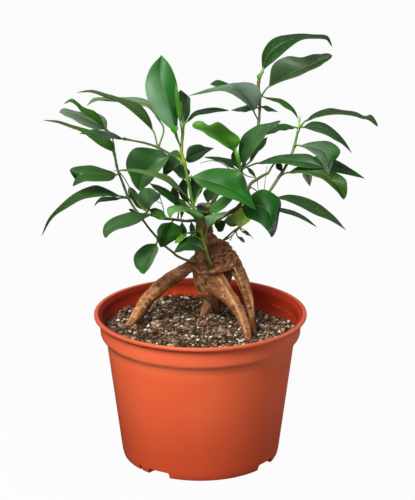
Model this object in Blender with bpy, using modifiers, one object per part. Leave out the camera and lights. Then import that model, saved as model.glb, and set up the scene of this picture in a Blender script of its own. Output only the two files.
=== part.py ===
# A ginseng ficus growing in a round nursery pot.
#
# Metres, +Z up.  The origin is on the pot's axis, on the plane that the pot
# stands on, and the side that is normally shown faces -Y.
#
# The plant is laid out along sight lines.  A spot on it is given by where it
# appears in a 415 x 500 view of the plant, and by how far it lies behind or
# in front of the pot's axis (mm, + is behind).  sight() turns that into a
# place in the model.

import math

import bmesh
import bpy
from mathutils import Vector
from mathutils.bvhtree import BVHTree

# ---------------------------------------------------------------- dimensions
MM = 0.001

# pot (radii and heights in mm, heights from the standing plane)
RIM_RADIUS = 76.0
POT_HEIGHT = 107.1
LIP_DEPTH = 2.4
LIP_FLAT = 2.6
COLLAR_TOP_RADIUS = 71.6
COLLAR_FOOT_RADIUS = 71.5
COLLAR_FOOT_HEIGHT = 92.0
BODY_TOP_RADIUS = 67.1
BODY_TOP_HEIGHT = 84.8
BODY_FOOT_RADIUS = 57.0
BODY_FOOT_HEIGHT = 3.7
RING_RADIUS = 56.0
WALL = 1.6
FLOOR = 2.0
CHANNEL_HEIGHT = 6.8
CHANNEL_INNER_RADIUS = 47.0
PLATEAU_RADIUS = 42.5
POT_STEPS = 40

# notches in the foot ring: mirrored about this azimuth (deg, 0 = front,
# + = to the right seen from the front)
FOOT_AXIS = 12.0
NOTCH_HEIGHT = 4.4
NOTCHES = ((43.6, 17.8), (60.8, 2.6))      # centre and width, each side
RIB_AT = 53.6                              # a rib inside, beside each notch
RIB_SIZE = (2.4, 9.8, 7.0)
RIB_RADIUS = 50.8
DRAIN_SIZE = (9.0, 5.0)
DRAIN_RADIUS = 50.6

# soil
SOIL_LEVEL = 92.4
GAP = 0.3

# leaf sheet
LEAF_THICKNESS = 0.62
PETIOLE_HALF_WIDTH = 0.75
BLADE_ROWS = 7
PETIOLE_ROWS = 3

# the view that the layout is read from
VIEW_FROM = Vector((5.08, -1213.9, 538.2))
VIEW_DOWN = math.radians(17.61)
VIEW_SCALE = 1800.0
VIEW_CENTRE = (207.5, 250.0)

VIEW_AHEAD = Vector((0.0, math.cos(VIEW_DOWN), -math.sin(VIEW_DOWN)))
VIEW_UP = Vector((0.0, math.sin(VIEW_DOWN), math.cos(VIEW_DOWN)))
VIEW_RIGHT = Vector((1.0, 0.0, 0.0))


def sight(u, v, behind):
    """The place (mm) seen at (u, v), `behind` mm behind the pot's axis."""
    ray = (VIEW_AHEAD
           + VIEW_RIGHT * ((u - VIEW_CENTRE[0]) / VIEW_SCALE)
           + VIEW_UP * ((VIEW_CENTRE[1] - v) / VIEW_SCALE))
    return VIEW_FROM + ray * ((behind - VIEW_FROM.y) / ray.y)


def seen(p):
    """Where a place (mm) appears in the view."""
    d = p - VIEW_FROM
    depth = d.dot(VIEW_AHEAD)
    return (VIEW_CENTRE[0] + VIEW_SCALE * d.dot(VIEW_RIGHT) / depth,
            VIEW_CENTRE[1] - VIEW_SCALE * d.dot(VIEW_UP) / depth)


def leaned(stem, v):
    row, slope = LEAN[stem]
    return slope * (row - v)


def along(points, t):
    """A smooth curve through tuples or vectors, at t from 0 to 1."""
    n = len(points)
    if n == 1:
        return tuple(points[0])
    x = min(max(t, 0.0), 1.0) * (n - 1)
    i = min(int(x), n - 2)
    f = x - i
    p1, p2 = points[i], points[i + 1]
    p0 = points[i - 1] if i > 0 else [2 * a - b for a, b in zip(p1, p2)]
    p3 = points[i + 2] if i + 2 < n else [2 * b - a for a, b in zip(p1, p2)]
    return tuple(
        0.5 * (2 * b + (c - a) * f + (2 * a - 5 * b + 4 * c - d) * f * f
               + (3 * b - a - 3 * c + d) * f ** 3)
        for a, b, c, d in zip(p0, p1, p2, p3))


# ------------------------------------------------------------------ layout
# stems: (u, v, behind, radius in mm), from the trunk outwards
STEMS = {
    "stem_left": [[
        (197, 262, 6, 1.25), (188, 260.5, 3, 1.0), (178, 256.5, 0, 0.88),
        (172, 251.5, -2, 0.84), (165, 246, -4, 0.82), (157, 237.5, -6, 0.80),
        (150, 229.5, -7, 0.78), (144, 221.5, -8, 0.80), (137, 212, -8, 0.85),
        (128.5, 198, -8, 0.9), (122, 181, -9, 0.85), (117.5, 169, -10, 0.8),
        (114.8, 156, -10, 0.7)]],
    "stem_centre": [[
        (211, 267, 2, 1.6), (209.5, 262, -5, 1.25), (206, 252, -7, 1.08),
        (203.5, 241, -8, 1.02), (200.5, 230, -10, 1.02), (197.5, 220, -11, 1.05),
        (194, 209, -11, 1.05), (191, 196, -11, 1.08), (188.5, 182, -12, 1.1),
        (184.5, 163, -12, 1.12), (181.5, 152, -12, 1.1), (182.0, 142, -12, 0.95),
        (183, 127, -10, 0.9), (181.4, 108, -7, 0.7)],
        [(185.2, 165, -12, 1.0), (178, 158.5, -12, 0.9), (170, 154, -11, 0.85),
         (158, 147.5, -10, 0.8), (146, 143.3, -11, 0.75), (135, 141, -12, 0.7),
         (126, 139.2, -12, 0.65)]],
    "stem_upper_right": [[
        (205, 229, 12, 1.8), (209, 216, 8, 1.6), (213, 203, 6, 1.5),
        (217, 195, 5, 1.4), (225, 186, 4, 1.3), (234, 178, 4, 1.25),
        (241, 170, 4, 1.2), (247, 156, 6, 1.1), (253, 141, 8, 1.0),
        (258, 126, 9, 0.95), (259.6, 112, 9, 0.95), (259.6, 98, 8, 1.0),
        (258.4, 86, 7, 1.1), (259.3, 79, 6, 1.0), (261.3, 74, 5, 0.8)]],
    "stem_right": [[
        (221, 243, 13, 1.1), (226, 238, 12, 0.8), (232, 232.5, 11, 0.7),
        (238.5, 228, 10, 0.72), (245, 221, 8, 0.85), (253, 212, 5, 0.95),
        (262, 201, 4, 1.0), (270.5, 190, 4, 1.05), (278, 178.5, 5, 1.05),
        (283, 171, 7, 1.0), (287.5, 163, 8, 1.0), (291, 155.5, 8, 1.0),
        (294.5, 146, 7, 0.95), (297, 135, 5, 0.9), (299, 127.5, 4, 0.85),
        (299.3, 122, 4, 0.7)]],
    "stem_brown": [[
        (206, 231, 10, 1.7), (212, 223, 2, 1.5), (218, 219, -2, 1.45),
        (228, 213.5, -5, 1.4), (237, 208, -6, 1.35), (243.5, 200, -5, 1.3),
        (247.5, 191, -4, 1.2), (251, 183.5, -2, 1.15), (257, 179.3, 0, 1.1),
        (264, 175, 3, 1.0), (268, 173, 4, 0.9), (271, 168, 5, 0.7),
        (273.5, 164.5, 6, 0.6)]],
    "stem_short_left": [[
        (201, 222, 12, 1.4), (194, 220.5, 4, 1.1), (186, 221, -1, 0.9),
        (178, 220, -3, 0.82), (170, 219, -8, 0.8), (161, 218.7, -12, 0.75),
        (153.5, 215.6, -16, 0.7)]],
}

# how far each stem and its leaves lean: from this row upwards, mm behind the
# depths given here for each unit of height in the view
LEAN = {
    "stem_left": (262, -0.15),
    "stem_centre": (267, -0.07),
    "stem_upper_right": (229, 0.22),
    "stem_right": (243, 0.08),
    "stem_brown": (231, 0.0),
    "stem_short_left": (222, 0.0),
}

# leaves: name, stem, where the stalk leaves it (u, v), half width in mm,
# how each edge leans (-1 towards the front, +1 towards the back), then the
# midrib from its foot to the tip (u, v, behind), and both edges (u, v) at
# the midrib's inner points
LEAVES = [
    ("leaf_upright", "stem_centre", (181.2, 150), 12, -1, 1,
     [(176.5, 134, -15), (173.5, 120, -15), (168, 102, -12), (162, 82, -6),
      (160, 67, -1), (161.5, 55, 3)],
     [(160, 119.5), (148.5, 102), (145.3, 84), (150.5, 67.5)],
     [(177.8, 121), (178.3, 101), (176.3, 81), (170.5, 66)]),
    ("leaf_behind_upright", "stem_centre", (183, 128), 11, 1, -1,
     [(184, 124, -4), (184.5, 113, 4), (185, 104, 11), (184, 97, 17),
      (180.5, 89.6, 22)],
     [(176.8, 113), (176, 103), (177.4, 95)],
     [(189.8, 114), (190.2, 104.5), (189.2, 97)]),
    ("leaf_long_left", "stem_centre", (157.5, 147.3), 12, 1, -1,
     [(153.3, 131, -8), (145, 117.5, -6), (134, 107.5, -3), (120, 100.3, 1),
      (105, 95, 4), (91, 91, 5), (77, 92.3, 3)],
     [(149.8, 118), (140, 105), (121, 98.2), (106, 94.2), (91, 90.2)],
     [(140, 118.8), (127, 107.4), (115, 100.6), (104, 95.8), (91, 91.7)]),
    ("leaf_grey_left", "stem_centre", (158.5, 147.7), 11, 1, -1,
     [(162.5, 125, 6), (151, 106, 16), (138, 101, 23), (122, 100, 28),
      (107, 99.2, 30), (96, 99.5, 29), (87, 105.2, 26)],
     [(153, 104.5), (138, 97.4), (122, 97.6), (107, 97.5), (94, 97.9)],
     [(149, 108.6), (138, 105.6), (122, 103), (107, 100.5), (96, 101)]),
    ("leaf_young_left", "stem_left", (114.9, 157), 7, 1, -1,
     [(105.5, 130, -5), (99, 120.7, -10), (90, 113, -14), (81, 107, -17),
      (75.5, 102.8, -18), (70, 100.3, -17), (64, 103.4, -15)],
     [(101, 119), (94, 110.9), (84, 107.4), (78.3, 102.8), (71.5, 98.8)],
     [(96, 121.8), (87, 115.6), (80, 110.4), (75, 104.6), (70, 102)]),
    ("leaf_grey_pointed", "stem_left", (116.6, 165), 12, 1, -1,
     [(107, 130, -1), (97, 123, 0), (86, 117.5, 0), (75, 113.5, -1),
      (66, 111.7, -2), (59, 112.3, -3)],
     [(105.8, 119), (92, 112), (76, 111.2), (63, 108.4)],
     [(93, 129), (82, 124.2), (72, 119.2), (64, 115)]),
    ("leaf_left_arch", "stem_left", (115.2, 160), 10, 1, -1,
     [(114.3, 152.5, -11), (108, 144, -14), (99, 136.5, -16),
      (86, 130.7, -18), (72, 126.3, -19), (58, 121.8, -19), (43, 120, -17)],
     [(111.8, 141.5), (101, 133), (86, 128.8), (72, 125.3), (58, 120.7)],
     [(103, 147.5), (93, 140.3), (83, 133.3), (71.5, 127.4), (58, 122.9)]),
    ("leaf_left_side_on", "stem_centre", (127, 139.5), 10, 1, -1,
     [(123.5, 138.7, -14), (112, 136, -30), (101, 134.7, -41),
      (91, 133.2, -47), (79.5, 133.4, -51)],
     [(111, 132.2), (100, 130.2), (91, 129.6)],
     [(112, 138.7), (101, 139.5), (92, 136.2)]),
    ("leaf_large_left", "stem_centre", (172, 155), 14, 1, -1,
     [(170, 156.5, -7), (160, 160.5, -7), (150, 167, -8),
      (142, 177, -9), (138.6, 190.5, -10)],
     [(157, 149), (134, 148.6), (126, 166)],
     [(165.5, 163.5), (157, 174), (148, 185)]),
    ("leaf_left_level", "stem_left", (119, 173.5), 11, 1, -1,
     [(117, 174.5, -12), (108, 174, -15), (97, 173, -18), (85, 173, -20),
      (77, 176, -19), (76, 180, -12)],
     [(110, 170.8), (98, 167), (86, 165.4), (70.5, 169.3)],
     [(111, 180.5), (98, 181.6), (85, 181.3), (73.3, 186)]),
    ("leaf_left_drooping", "stem_left", (128.4, 197.5), 11, 1, -1,
     [(120, 196, -11), (108, 193.7, -15), (95, 193.6, -19),
      (80, 197.5, -23), (65, 205.5, -26), (51, 217.5, -28),
      (41.7, 235.8, -29)],
     [(108, 189.2), (94, 185.6), (76, 192.3), (60, 205.8), (48, 219.8)],
     [(108, 195.9), (96, 197), (82, 199.8), (67, 207.8), (53, 217.9)]),
    ("leaf_left_low", "stem_short_left", (153.5, 215.6), 12, 1, -1,
     [(151, 214.3, -19), (141, 217, -28), (130, 220.5, -34), (118, 224, -38),
      (108, 228.5, -41), (104.5, 237, -42)],
     [(141, 212.8), (129, 212.2), (116, 216.3), (104, 225)],
     [(140, 221.8), (130, 226), (118, 229.6), (110, 233.6)]),
    ("leaf_lowest_left", "stem_left", (157.5, 238.2), 10.5, 1, -1,
     [(156.5, 243.5, -8), (151.5, 250, -12), (147.3, 257.5, -15),
      (144.6, 265.5, -17), (143.2, 274, -18)],
     [(144.6, 244.8), (134.6, 255), (134.9, 266)],
     [(158.2, 250.6), (153.6, 260.3), (149.2, 268.8)]),
    ("leaf_low_centre", "stem_short_left", (174, 219.6), 14, -1, 1,
     [(172, 222, -7), (169.5, 227, -13), (166, 234, -17),
      (163.5, 240.5, -19), (161.5, 247.3, -20)],
     [(161, 224), (157.3, 232), (157.8, 241)],
     [(180, 226.5), (182, 233.5), (174, 240.5)]),
    ("leaf_on_trunk", "stem_centre", (205.8, 251), 11, 1, -1,
     [(203, 249, -13), (196, 245, -18), (188, 243.5, -22),
      (181, 247, -24), (173.5, 252.7, -25)],
     [(199, 238.3), (189, 236), (180.5, 241.5)],
     [(197, 251), (188, 250.2), (181, 251.6)]),
    ("leaf_pale_short", "stem_left", (141, 217), 11, 1, -1,
     [(148, 211, -2), (148, 204, 7), (148.5, 196.5, 16), (146, 187.8, 24)],
     [(142.5, 203), (138.5, 194)],
     [(153.5, 203.5), (160.5, 194.8)]),
    ("leaf_along_stem", "stem_left", (139.5, 215), 8, 1, -1,
     [(146.5, 211, -5), (141, 204.5, -4), (136.5, 198, -3),
      (133, 192, -1), (129, 186.5, 2)],
     [(137, 207), (131.5, 199.5), (128, 192)],
     [(145.5, 206), (140.5, 198.5), (135, 190)]),
    ("leaf_pale_arch", "stem_centre", (192.3, 203), 11, 1, -1,
     [(184.5, 194.5, -18), (178, 187.5, -25), (169, 180.7, -31),
      (158, 175.6, -36), (144, 172, -38), (129, 170, -38),
      (113, 170.7, -37)],
     [(181, 188.5), (171, 177.4), (159, 172.9), (144, 170), (129.5, 168.8)],
     [(174.5, 188.5), (167, 182.6), (156, 177.3), (143, 173.6),
      (129, 171.2)]),
    ("leaf_dark_left", "stem_centre", (193.2, 207), 10, 1, -1,
     [(181.5, 205.5, -9), (173, 198, -11), (165, 192, -11),
      (158, 187.7, -8), (149.5, 183, -3)],
     [(175.3, 196.5), (166, 188.7), (158, 185.4)],
     [(171.3, 202), (162, 195), (155.5, 190)]),
    ("leaf_back_pair_right", "stem_centre", (184.8, 162.5), 12, 1, -1,
     [(185.6, 159.8, -4), (192, 155.6, 8), (200, 151.5, 19), (206, 149, 28),
      (214, 148.3, 35)],
     [(188.5, 147.6), (199, 144.6), (205.5, 146.6)],
     [(189, 162.8), (200, 159), (207, 152.5)]),
    ("leaf_back_pair_left", "stem_centre", (184.6, 162), 9, 1, -1,
     [(182.6, 159.5, -6), (178, 159, -1), (172, 162.3, 3), (164, 171, 6)],
     [(177.6, 150.4), (168.5, 154.5)],
     [(178.6, 165.4), (171.5, 170)]),
    ("leaf_dark_back_left", "stem_centre", (188.2, 180.5), 10, -1, 1,
     [(186, 179, -7), (183, 173, 2), (177, 168, 11), (171, 164.7, 20),
      (164, 161, 28)],
     [(180, 177.5), (175, 172.5), (170, 167.5)],
     [(190, 172), (183, 165.3), (173, 163.3)]),
    ("leaf_top", "stem_upper_right", (261, 74.5), 12, 1, -1,
     [(262.3, 71, 5), (268, 55, 8), (280, 44, 9), (297, 37.3, 7),
      (313, 36.6, 3), (326, 38, -1), (332, 46.5, -5)],
     [(262.5, 53), (274, 37.9), (296, 33.9), (313, 34.9), (327.5, 35.8)],
     [(273, 62), (288, 49), (301, 40.8), (313, 38.4), (326, 39.8)]),
    ("leaf_second_top", "stem_upper_right", (259.8, 99), 13, 1, -1,
     [(268.5, 87, 4), (281, 79, 1), (294, 71.5, -4), (307, 65.8, -8),
      (320, 60.5, -11), (332.3, 55.5, -13)],
     [(272.5, 65.5), (287, 56.2), (302, 57.2), (316, 53.9)],
     [(282, 81.7), (297, 76.5), (309, 71.3), (321, 65.3)]),
    ("leaf_long_centre", "stem_upper_right", (258.8, 120.5), 12, 1, -1,
     [(253.8, 111.5, 4), (249, 101, 0), (241, 91, -4), (229, 86.5, -8),
      (213, 90, -12), (189, 95.6, -16)],
     [(262, 96.5), (253, 83.6), (236, 82.8), (212, 88)],
     [(246, 104), (236, 96.5), (224, 91.3), (210, 91.8)]),
    ("leaf_thin_arch", "stem_centre", (183, 134), 11, 1, -1,
     [(186, 122, -13), (194, 114.3, -13), (204, 111.5, -10),
      (214, 110.2, -6), (222, 110, -2), (229, 110.4, 1)],
     [(193.5, 112.8), (204, 109.2), (214, 107.6), (221, 108.6)],
     [(195, 116), (204, 114), (214, 112.8), (222, 111.6)]),
    ("leaf_back_of_fork", "stem_upper_right", (259.5, 108), 11, 1, -1,
     [(256, 107.5, 13), (249, 108, 24), (241, 109, 35), (231, 110.3, 44)],
     [(249, 105), (240.5, 107)],
     [(249, 111.3), (240.5, 111.8)]),
    ("leaf_bright_blunt", "stem_upper_right", (240.8, 170.5), 13, 1, -1,
     [(234.5, 151.5, -4), (228.5, 144, -8.5), (221.5, 137, -12),
      (213.5, 131.5, -15), (205.8, 128, -17.5), (198.5, 125.4, -18.5),
      (192.4, 124.2, -18)],
     [(240, 139), (230, 130.2), (218, 122.2), (209, 125), (201, 120.8)],
     [(227.2, 147.6), (218, 141.7), (210, 136.6), (203.2, 132.4),
      (196.6, 128.8)]),
    ("leaf_large_grey", "stem_upper_right", (241.2, 170), 13, 1, -1,
     [(243, 166, -1), (247, 154, -4), (252, 141, -6), (259, 131.5, -8),
      (268, 126, -9), (280, 120.5, -9)],
     [(238.5, 151), (243, 135.5), (254, 126.8), (267, 123.4)],
     [(252, 154), (260, 143), (268, 132), (275.5, 126.8)]),
    ("leaf_behind_grey", "stem_upper_right", (242.5, 166.5), 9, 1, -1,
     [(249.5, 162, 12), (254.5, 153.5, 21), (260.5, 146, 30), (267.5, 137, 38)],
     [(251.5, 152), (256.5, 142)],
     [(257, 152.3), (264.5, 146.3)]),
    ("leaf_dark_band", "stem_right", (298.8, 128.5), 11, 1, -1,
     [(295, 127, 3), (287, 127.2, 12), (279, 127.7, 21), (271, 130, 30),
      (262, 136, 38)],
     [(287, 124.2), (279, 123.9), (270.5, 126.2)],
     [(287, 129.8), (279, 131), (272, 133.6)]),
    ("leaf_far_right_high", "stem_right", (298.8, 129.5), 11, 1, -1,
     [(305.5, 121, 2), (316, 115.2, 9), (329, 112, 15), (342, 112.3, 20),
      (354, 114, 23), (363.3, 117.2, 24), (370.6, 118.6, 24),
      (378, 126.2, 22)],
     [(314.4, 112.9), (329, 108.4), (342, 109.9), (354.6, 111.8),
      (364, 116.1), (371.4, 115)],
     [(317.4, 117.4), (329, 115), (342, 114.8), (352.6, 116),
      (362.8, 118.2), (369.6, 120.8)]),
    ("leaf_right_arch", "stem_right", (299, 127.5), 11, 1, -1,
     [(303, 127, -3), (312, 126, -6), (323, 127.5, -9), (334, 133.5, -11),
      (343, 142, -13), (352, 153, -15)],
     [(312, 121.7), (324, 123.2), (335, 130.2), (344.3, 140.5)],
     [(312, 130.6), (322, 133.3), (332, 138.4), (341.5, 143.8)]),
    ("leaf_pale_right", "stem_right", (294.8, 146), 12, 1, -1,
     [(300, 145.5, -8), (311, 146.5, -15), (321, 149, -21),
      (327, 155, -27), (329, 165, -32), (328.5, 175, -35)],
     [(312, 141.8), (329, 141.7), (340.5, 151), (333, 164)],
     [(307, 149.6), (316, 155.5), (321, 162), (325, 170)]),
    ("leaf_right_level", "stem_upper_right", (241.5, 169.5), 12, 1, -1,
     [(258, 163, 0), (270, 161, -8), (284, 159.5, -14), (298, 160, -18),
      (311, 162.5, -22), (324, 168, -25)],
     [(270, 157.8), (284, 154.4), (298, 153.9), (312, 155.4)],
     [(270, 163.9), (284, 163.9), (298, 166.3), (311, 168.3)]),
    ("leaf_right_dark_tip", "stem_right", (290, 158), 12, 1, -1,
     [(297, 158.8, 11), (309, 160.5, 12), (323, 162.5, 10), (338, 166.5, 7),
      (352, 171.5, 3), (365, 178.6, -1)],
     [(309, 156.7), (323, 157), (338, 160.8), (353, 169.8)],
     [(308, 165), (322, 169), (337, 173), (351, 175.4)]),
    ("leaf_right_hanging", "stem_right", (279, 177.3), 12, 1, -1,
     [(288, 172.5, -8), (300, 170.7, -15), (313, 172, -20),
      (326, 176, -25), (337, 184.5, -29), (344, 199.5, -31)],
     [(299, 166.8), (314, 167.5), (330, 170), (346.5, 180.5)],
     [(301, 173.4), (312, 175.4), (323, 180), (335, 189.7)]),
    ("leaf_small_hanging", "stem_right", (288, 162), 7, -1, 1,
     [(301, 166, 10), (305, 171, 13), (308, 177.5, 14), (310, 186.5, 13)],
     [(301.5, 171.5), (304.5, 179)],
     [(311, 170.5), (312, 178)]),
    ("leaf_front", "stem_centre", (188.8, 181), 14, 1, -1,
     [(191.5, 176.8, -18), (203, 179, -25), (217, 182.5, -31),
      (231, 187.5, -35), (245, 196.5, -38), (256, 210, -39)],
     [(207, 169.8), (223, 168), (241, 172.3), (249, 190)],
     [(199, 184.6), (212, 191.5), (226, 197.2), (241, 202.8)]),
    ("leaf_front_right", "stem_brown", (238.5, 206.5), 15, 1, -1,
     [(242, 207, -11), (249.5, 204.7, -16.5), (260, 205.2, -22),
      (268.8, 210.8, -27), (273, 220, -30.3), (273.7, 229.5, -32.2),
      (272.4, 236.8, -33)],
     [(247, 198.5), (263, 189.2), (280, 199.5), (279.2, 214.5),
      (276.6, 228.5)],
     [(245.5, 216), (253, 220), (260.5, 224), (266.2, 229.4),
      (269.4, 234)]),
    ("leaf_right_low", "stem_right", (262, 201), 12, 1, -1,
     [(277, 197, -6), (290, 199, -8), (303, 203.5, -9), (317, 210, -10),
      (331, 217.8, -12), (346, 230, -15)],
     [(290, 194.5), (304.5, 197.3), (320, 204.3), (334, 216)],
     [(289, 202), (302, 207.7), (316, 214.9), (330, 220.6)]),
    ("leaf_right_thin", "stem_right", (254, 210.8), 10, 1, -1,
     [(270, 206.5, 6), (283, 210.4, 16), (295, 213.9, 25), (305, 219, 33),
      (317, 227, 39)],
     [(283, 208.7), (295, 211.9), (306, 217.6)],
     [(283, 212), (295, 215.9), (305, 220.6)]),
    ("leaf_thin_back", "stem_upper_right", (240, 171), 11, 1, -1,
     [(234.5, 168, 10), (229, 163.5, 19), (221.5, 160, 28), (213, 158, 36),
      (204, 157, 43)],
     [(232, 159.8), (222, 157.7), (213, 156.8)],
     [(229, 167), (221, 162.2), (213, 159.5)]),
    ("leaf_young_upper", "stem_upper_right", (259.8, 96), 5, 1, -1,
     [(264.5, 97.2, 11), (272, 99, 14), (280, 101, 16), (288, 105, 16),
      (294, 111, 14), (298.4, 119.3, 11)],
     [(272, 97.8), (280.8, 99), (289.4, 104), (295.2, 110.6)],
     [(271.4, 100.6), (278.4, 103), (285.4, 108), (292.4, 112)]),
    ("leaf_cup_left", "stem_centre", (200, 229), 10, 1, -1,
     [(197.5, 222.5, -16), (194, 216, -21), (188.5, 211, -26),
      (181, 208.7, -30), (172.5, 210, -32), (169.7, 219.5, -32)],
     [(203.5, 215.6), (192, 209.2), (180, 205.2), (167.3, 208.3)],
     [(192.5, 216.5), (187.5, 212), (180, 211.6), (173.5, 213.7)]),
    ("leaf_cup_right", "stem_centre", (203.8, 242), 9, 1, -1,
     [(207.7, 229, -14), (208.5, 221.5, -18), (213, 217.2, -21),
      (221, 214.7, -24), (230.5, 211.5, -27)],
     [(203.6, 217.6), (208.5, 215.4), (219.5, 212.6)],
     [(213.8, 224), (217.6, 219.2), (223, 216.4)]),
    ("leaf_inner_right", "stem_upper_right", (210, 213), 10, 1, -1,
     [(208.5, 213, 0), (214, 209, -6), (220, 204.5, -11),
      (226, 200, -14), (235, 194, -16)],
     [(211, 205.5), (216, 201), (223, 196.5)],
     [(216.3, 213), (224, 208.3), (231, 201.5)]),
    ("leaf_small_dark", "stem_brown", (219, 218.5), 6, 1, -1,
     [(219, 219.5, -8), (219.6, 223, -11), (220.5, 227.5, -14),
      (220.5, 232, -15)],
     [(214.4, 222.6), (216, 228.2)],
     [(225, 221.6), (224.6, 227)]),
    ("leaf_olive", "stem_right", (238.8, 227.8), 9, 1, -1,
     [(239.4, 228, 5), (240.8, 222, 2), (243, 214.8, -1), (246.5, 206, -3)],
     [(232, 219.8), (233, 211.5)],
     [(248.6, 222), (253, 214.5)]),
    ("leaf_inner_back", "stem_centre", (193, 206), 9, 1, -1,
     [(194.3, 203, -6), (194.5, 195, 3), (194.5, 186, 12), (190.8, 174.8, 20)],
     [(191.8, 195), (190.3, 184)],
     [(198.6, 196), (202.5, 187)]),
]


# --------------------------------------------------------------- scene start
for stale in list(bpy.data.objects):
    bpy.data.objects.remove(stale, do_unlink=True)

root_collection = bpy.context.scene.collection
ficus = bpy.data.collections.new("ginseng_ficus")
root_collection.children.link(ficus)
cutters = bpy.data.collections.new("cutters")
root_collection.children.link(cutters)


def material(name, colour, roughness, metallic=0.0):
    mat = bpy.data.materials.new(name)
    mat.use_nodes = True
    shader = mat.node_tree.nodes["Principled BSDF"]
    shader.inputs["Base Color"].default_value = (*colour, 1.0)
    shader.inputs["Roughness"].default_value = roughness
    shader.inputs["Metallic"].default_value = metallic
    return mat


TERRACOTTA = material("orange_plastic", (0.72, 0.14, 0.05), 0.42)
PEAT = material("peat_soil", (0.09, 0.045, 0.025), 0.95)
BARK = material("brown_bark", (0.20, 0.085, 0.045), 0.8)
LEAF = material("glossy_leaf", (0.045, 0.16, 0.035), 0.35)
YOUNG_STEM = material("green_stem", (0.16, 0.30, 0.04), 0.5)
OLD_STEM = material("brown_stem", (0.13, 0.10, 0.03), 0.6)


def place(name, mesh, mat, collection=ficus):
    obj = bpy.data.objects.new(name, mesh)
    mesh.materials.clear()
    mesh.materials.append(mat)
    collection.objects.link(obj)
    return obj


def as_cutter(obj):
    obj.hide_render = True
    obj.display_type = 'WIRE'
    return obj


def evaluated_mesh(obj):
    """The object's mesh with its modifiers applied, in world space."""
    bpy.context.view_layer.update()
    graph = bpy.context.evaluated_depsgraph_get()
    mesh = bpy.data.meshes.new_from_object(obj.evaluated_get(graph))
    mesh.transform(obj.matrix_world)
    return mesh


def weld(mesh, distance=1e-6):
    bm = bmesh.new()
    bm.from_mesh(mesh)
    bmesh.ops.remove_doubles(bm, verts=bm.verts, dist=distance)
    bm.to_mesh(mesh)
    bm.free()


def turned(name, profile, steps, mat):
    """A profile of (radius, height) in mm turned about Z."""
    mesh = bpy.data.meshes.new(name)
    points = [(r * MM, 0.0, h * MM) for r, h in profile]
    mesh.from_pydata(points, [(i, i + 1) for i in range(len(points) - 1)], [])
    obj = place(name, mesh, mat)
    screw = obj.modifiers.new("turn", 'SCREW')
    screw.axis = 'Z'
    screw.steps = steps
    screw.render_steps = steps
    screw.use_merge_vertices = True
    screw.merge_threshold = 0.00005
    return obj


def tube(name, points, radii, mat, sides=2, collection=ficus):
    """A curve with a round section through points (mm)."""
    curve = bpy.data.curves.new(name, 'CURVE')
    curve.dimensions = '3D'
    curve.bevel_depth = MM
    curve.bevel_resolution = sides
    curve.use_fill_caps = True
    spline = curve.splines.new('POLY')
    spline.points.add(len(points) - 1)
    for knot, p, r in zip(spline.points, points, radii):
        knot.co = (p[0] * MM, p[1] * MM, p[2] * MM, 1.0)
        knot.radius = r
    curve.materials.append(mat)
    obj = bpy.data.objects.new(name, curve)
    collection.objects.link(obj)
    return obj


def meshed(obj):
    """The curve object as a closed mesh object of the same name."""
    name = obj.name
    mat = obj.data.materials[0]
    collection = obj.users_collection[0]
    bpy.context.view_layer.update()
    graph = bpy.context.evaluated_depsgraph_get()
    mesh = bpy.data.meshes.new_from_object(obj.evaluated_get(graph))
    matrix = obj.matrix_world.copy()
    bpy.data.objects.remove(obj, do_unlink=True)
    weld(mesh)
    made = place(name, mesh, mat, collection)
    made.name = name
    made.matrix_world = matrix
    return made


# ----------------------------------------------------------------------- pot
def outer_radius(z):
    """Radius of the pot's outside (mm) at height z, on its plain walls."""
    if z >= COLLAR_FOOT_HEIGHT:
        f = (z - COLLAR_FOOT_HEIGHT) / (POT_HEIGHT - LIP_DEPTH - COLLAR_FOOT_HEIGHT)
        return COLLAR_FOOT_RADIUS + (COLLAR_TOP_RADIUS - COLLAR_FOOT_RADIUS) * f
    f = (z - BODY_FOOT_HEIGHT) / (BODY_TOP_HEIGHT - BODY_FOOT_HEIGHT)
    return BODY_FOOT_RADIUS + (BODY_TOP_RADIUS - BODY_FOOT_RADIUS) * f


ROOF = CHANNEL_HEIGHT + FLOOR
INNER_WALL = [(outer_radius(ROOF) - WALL, ROOF),
              (outer_radius(BODY_TOP_HEIGHT) - WALL, BODY_TOP_HEIGHT),
              (COLLAR_FOOT_RADIUS - WALL - 0.9, BODY_TOP_HEIGHT + 4.2),
              (COLLAR_FOOT_RADIUS - WALL, BODY_TOP_HEIGHT + 6.5),
              (COLLAR_TOP_RADIUS - WALL, POT_HEIGHT - LIP_DEPTH - 0.5),
              (COLLAR_TOP_RADIUS - WALL + 1.2, POT_HEIGHT - 1.2)]

pot_profile = ([(0.0, FLOOR), (PLATEAU_RADIUS - FLOOR, FLOOR),
                (CHANNEL_INNER_RADIUS - 1.0, ROOF)]
               + INNER_WALL
               + [(RIM_RADIUS - LIP_FLAT, POT_HEIGHT),
                  (RIM_RADIUS - 0.8, POT_HEIGHT),
                  (RIM_RADIUS, POT_HEIGHT - 0.9),
                  (RIM_RADIUS, POT_HEIGHT - LIP_DEPTH + 0.5),
                  (RIM_RADIUS - 0.5, POT_HEIGHT - LIP_DEPTH),
                  (COLLAR_TOP_RADIUS, POT_HEIGHT - LIP_DEPTH),
                  (COLLAR_FOOT_RADIUS, COLLAR_FOOT_HEIGHT),
                  (COLLAR_FOOT_RADIUS - 1.2, COLLAR_FOOT_HEIGHT - 1.6),
                  (BODY_TOP_RADIUS + 1.7, BODY_TOP_HEIGHT + 3.4),
                  (BODY_TOP_RADIUS, BODY_TOP_HEIGHT),
                  (BODY_FOOT_RADIUS, BODY_FOOT_HEIGHT),
                  (RING_RADIUS, 0.0),
                  (RING_RADIUS - WALL, 0.0),
                  (BODY_FOOT_RADIUS - WALL, CHANNEL_HEIGHT),
                  (CHANNEL_INNER_RADIUS, CHANNEL_HEIGHT),
                  (PLATEAU_RADIUS, 0.0),
                  (0.0, 0.0)])

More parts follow.
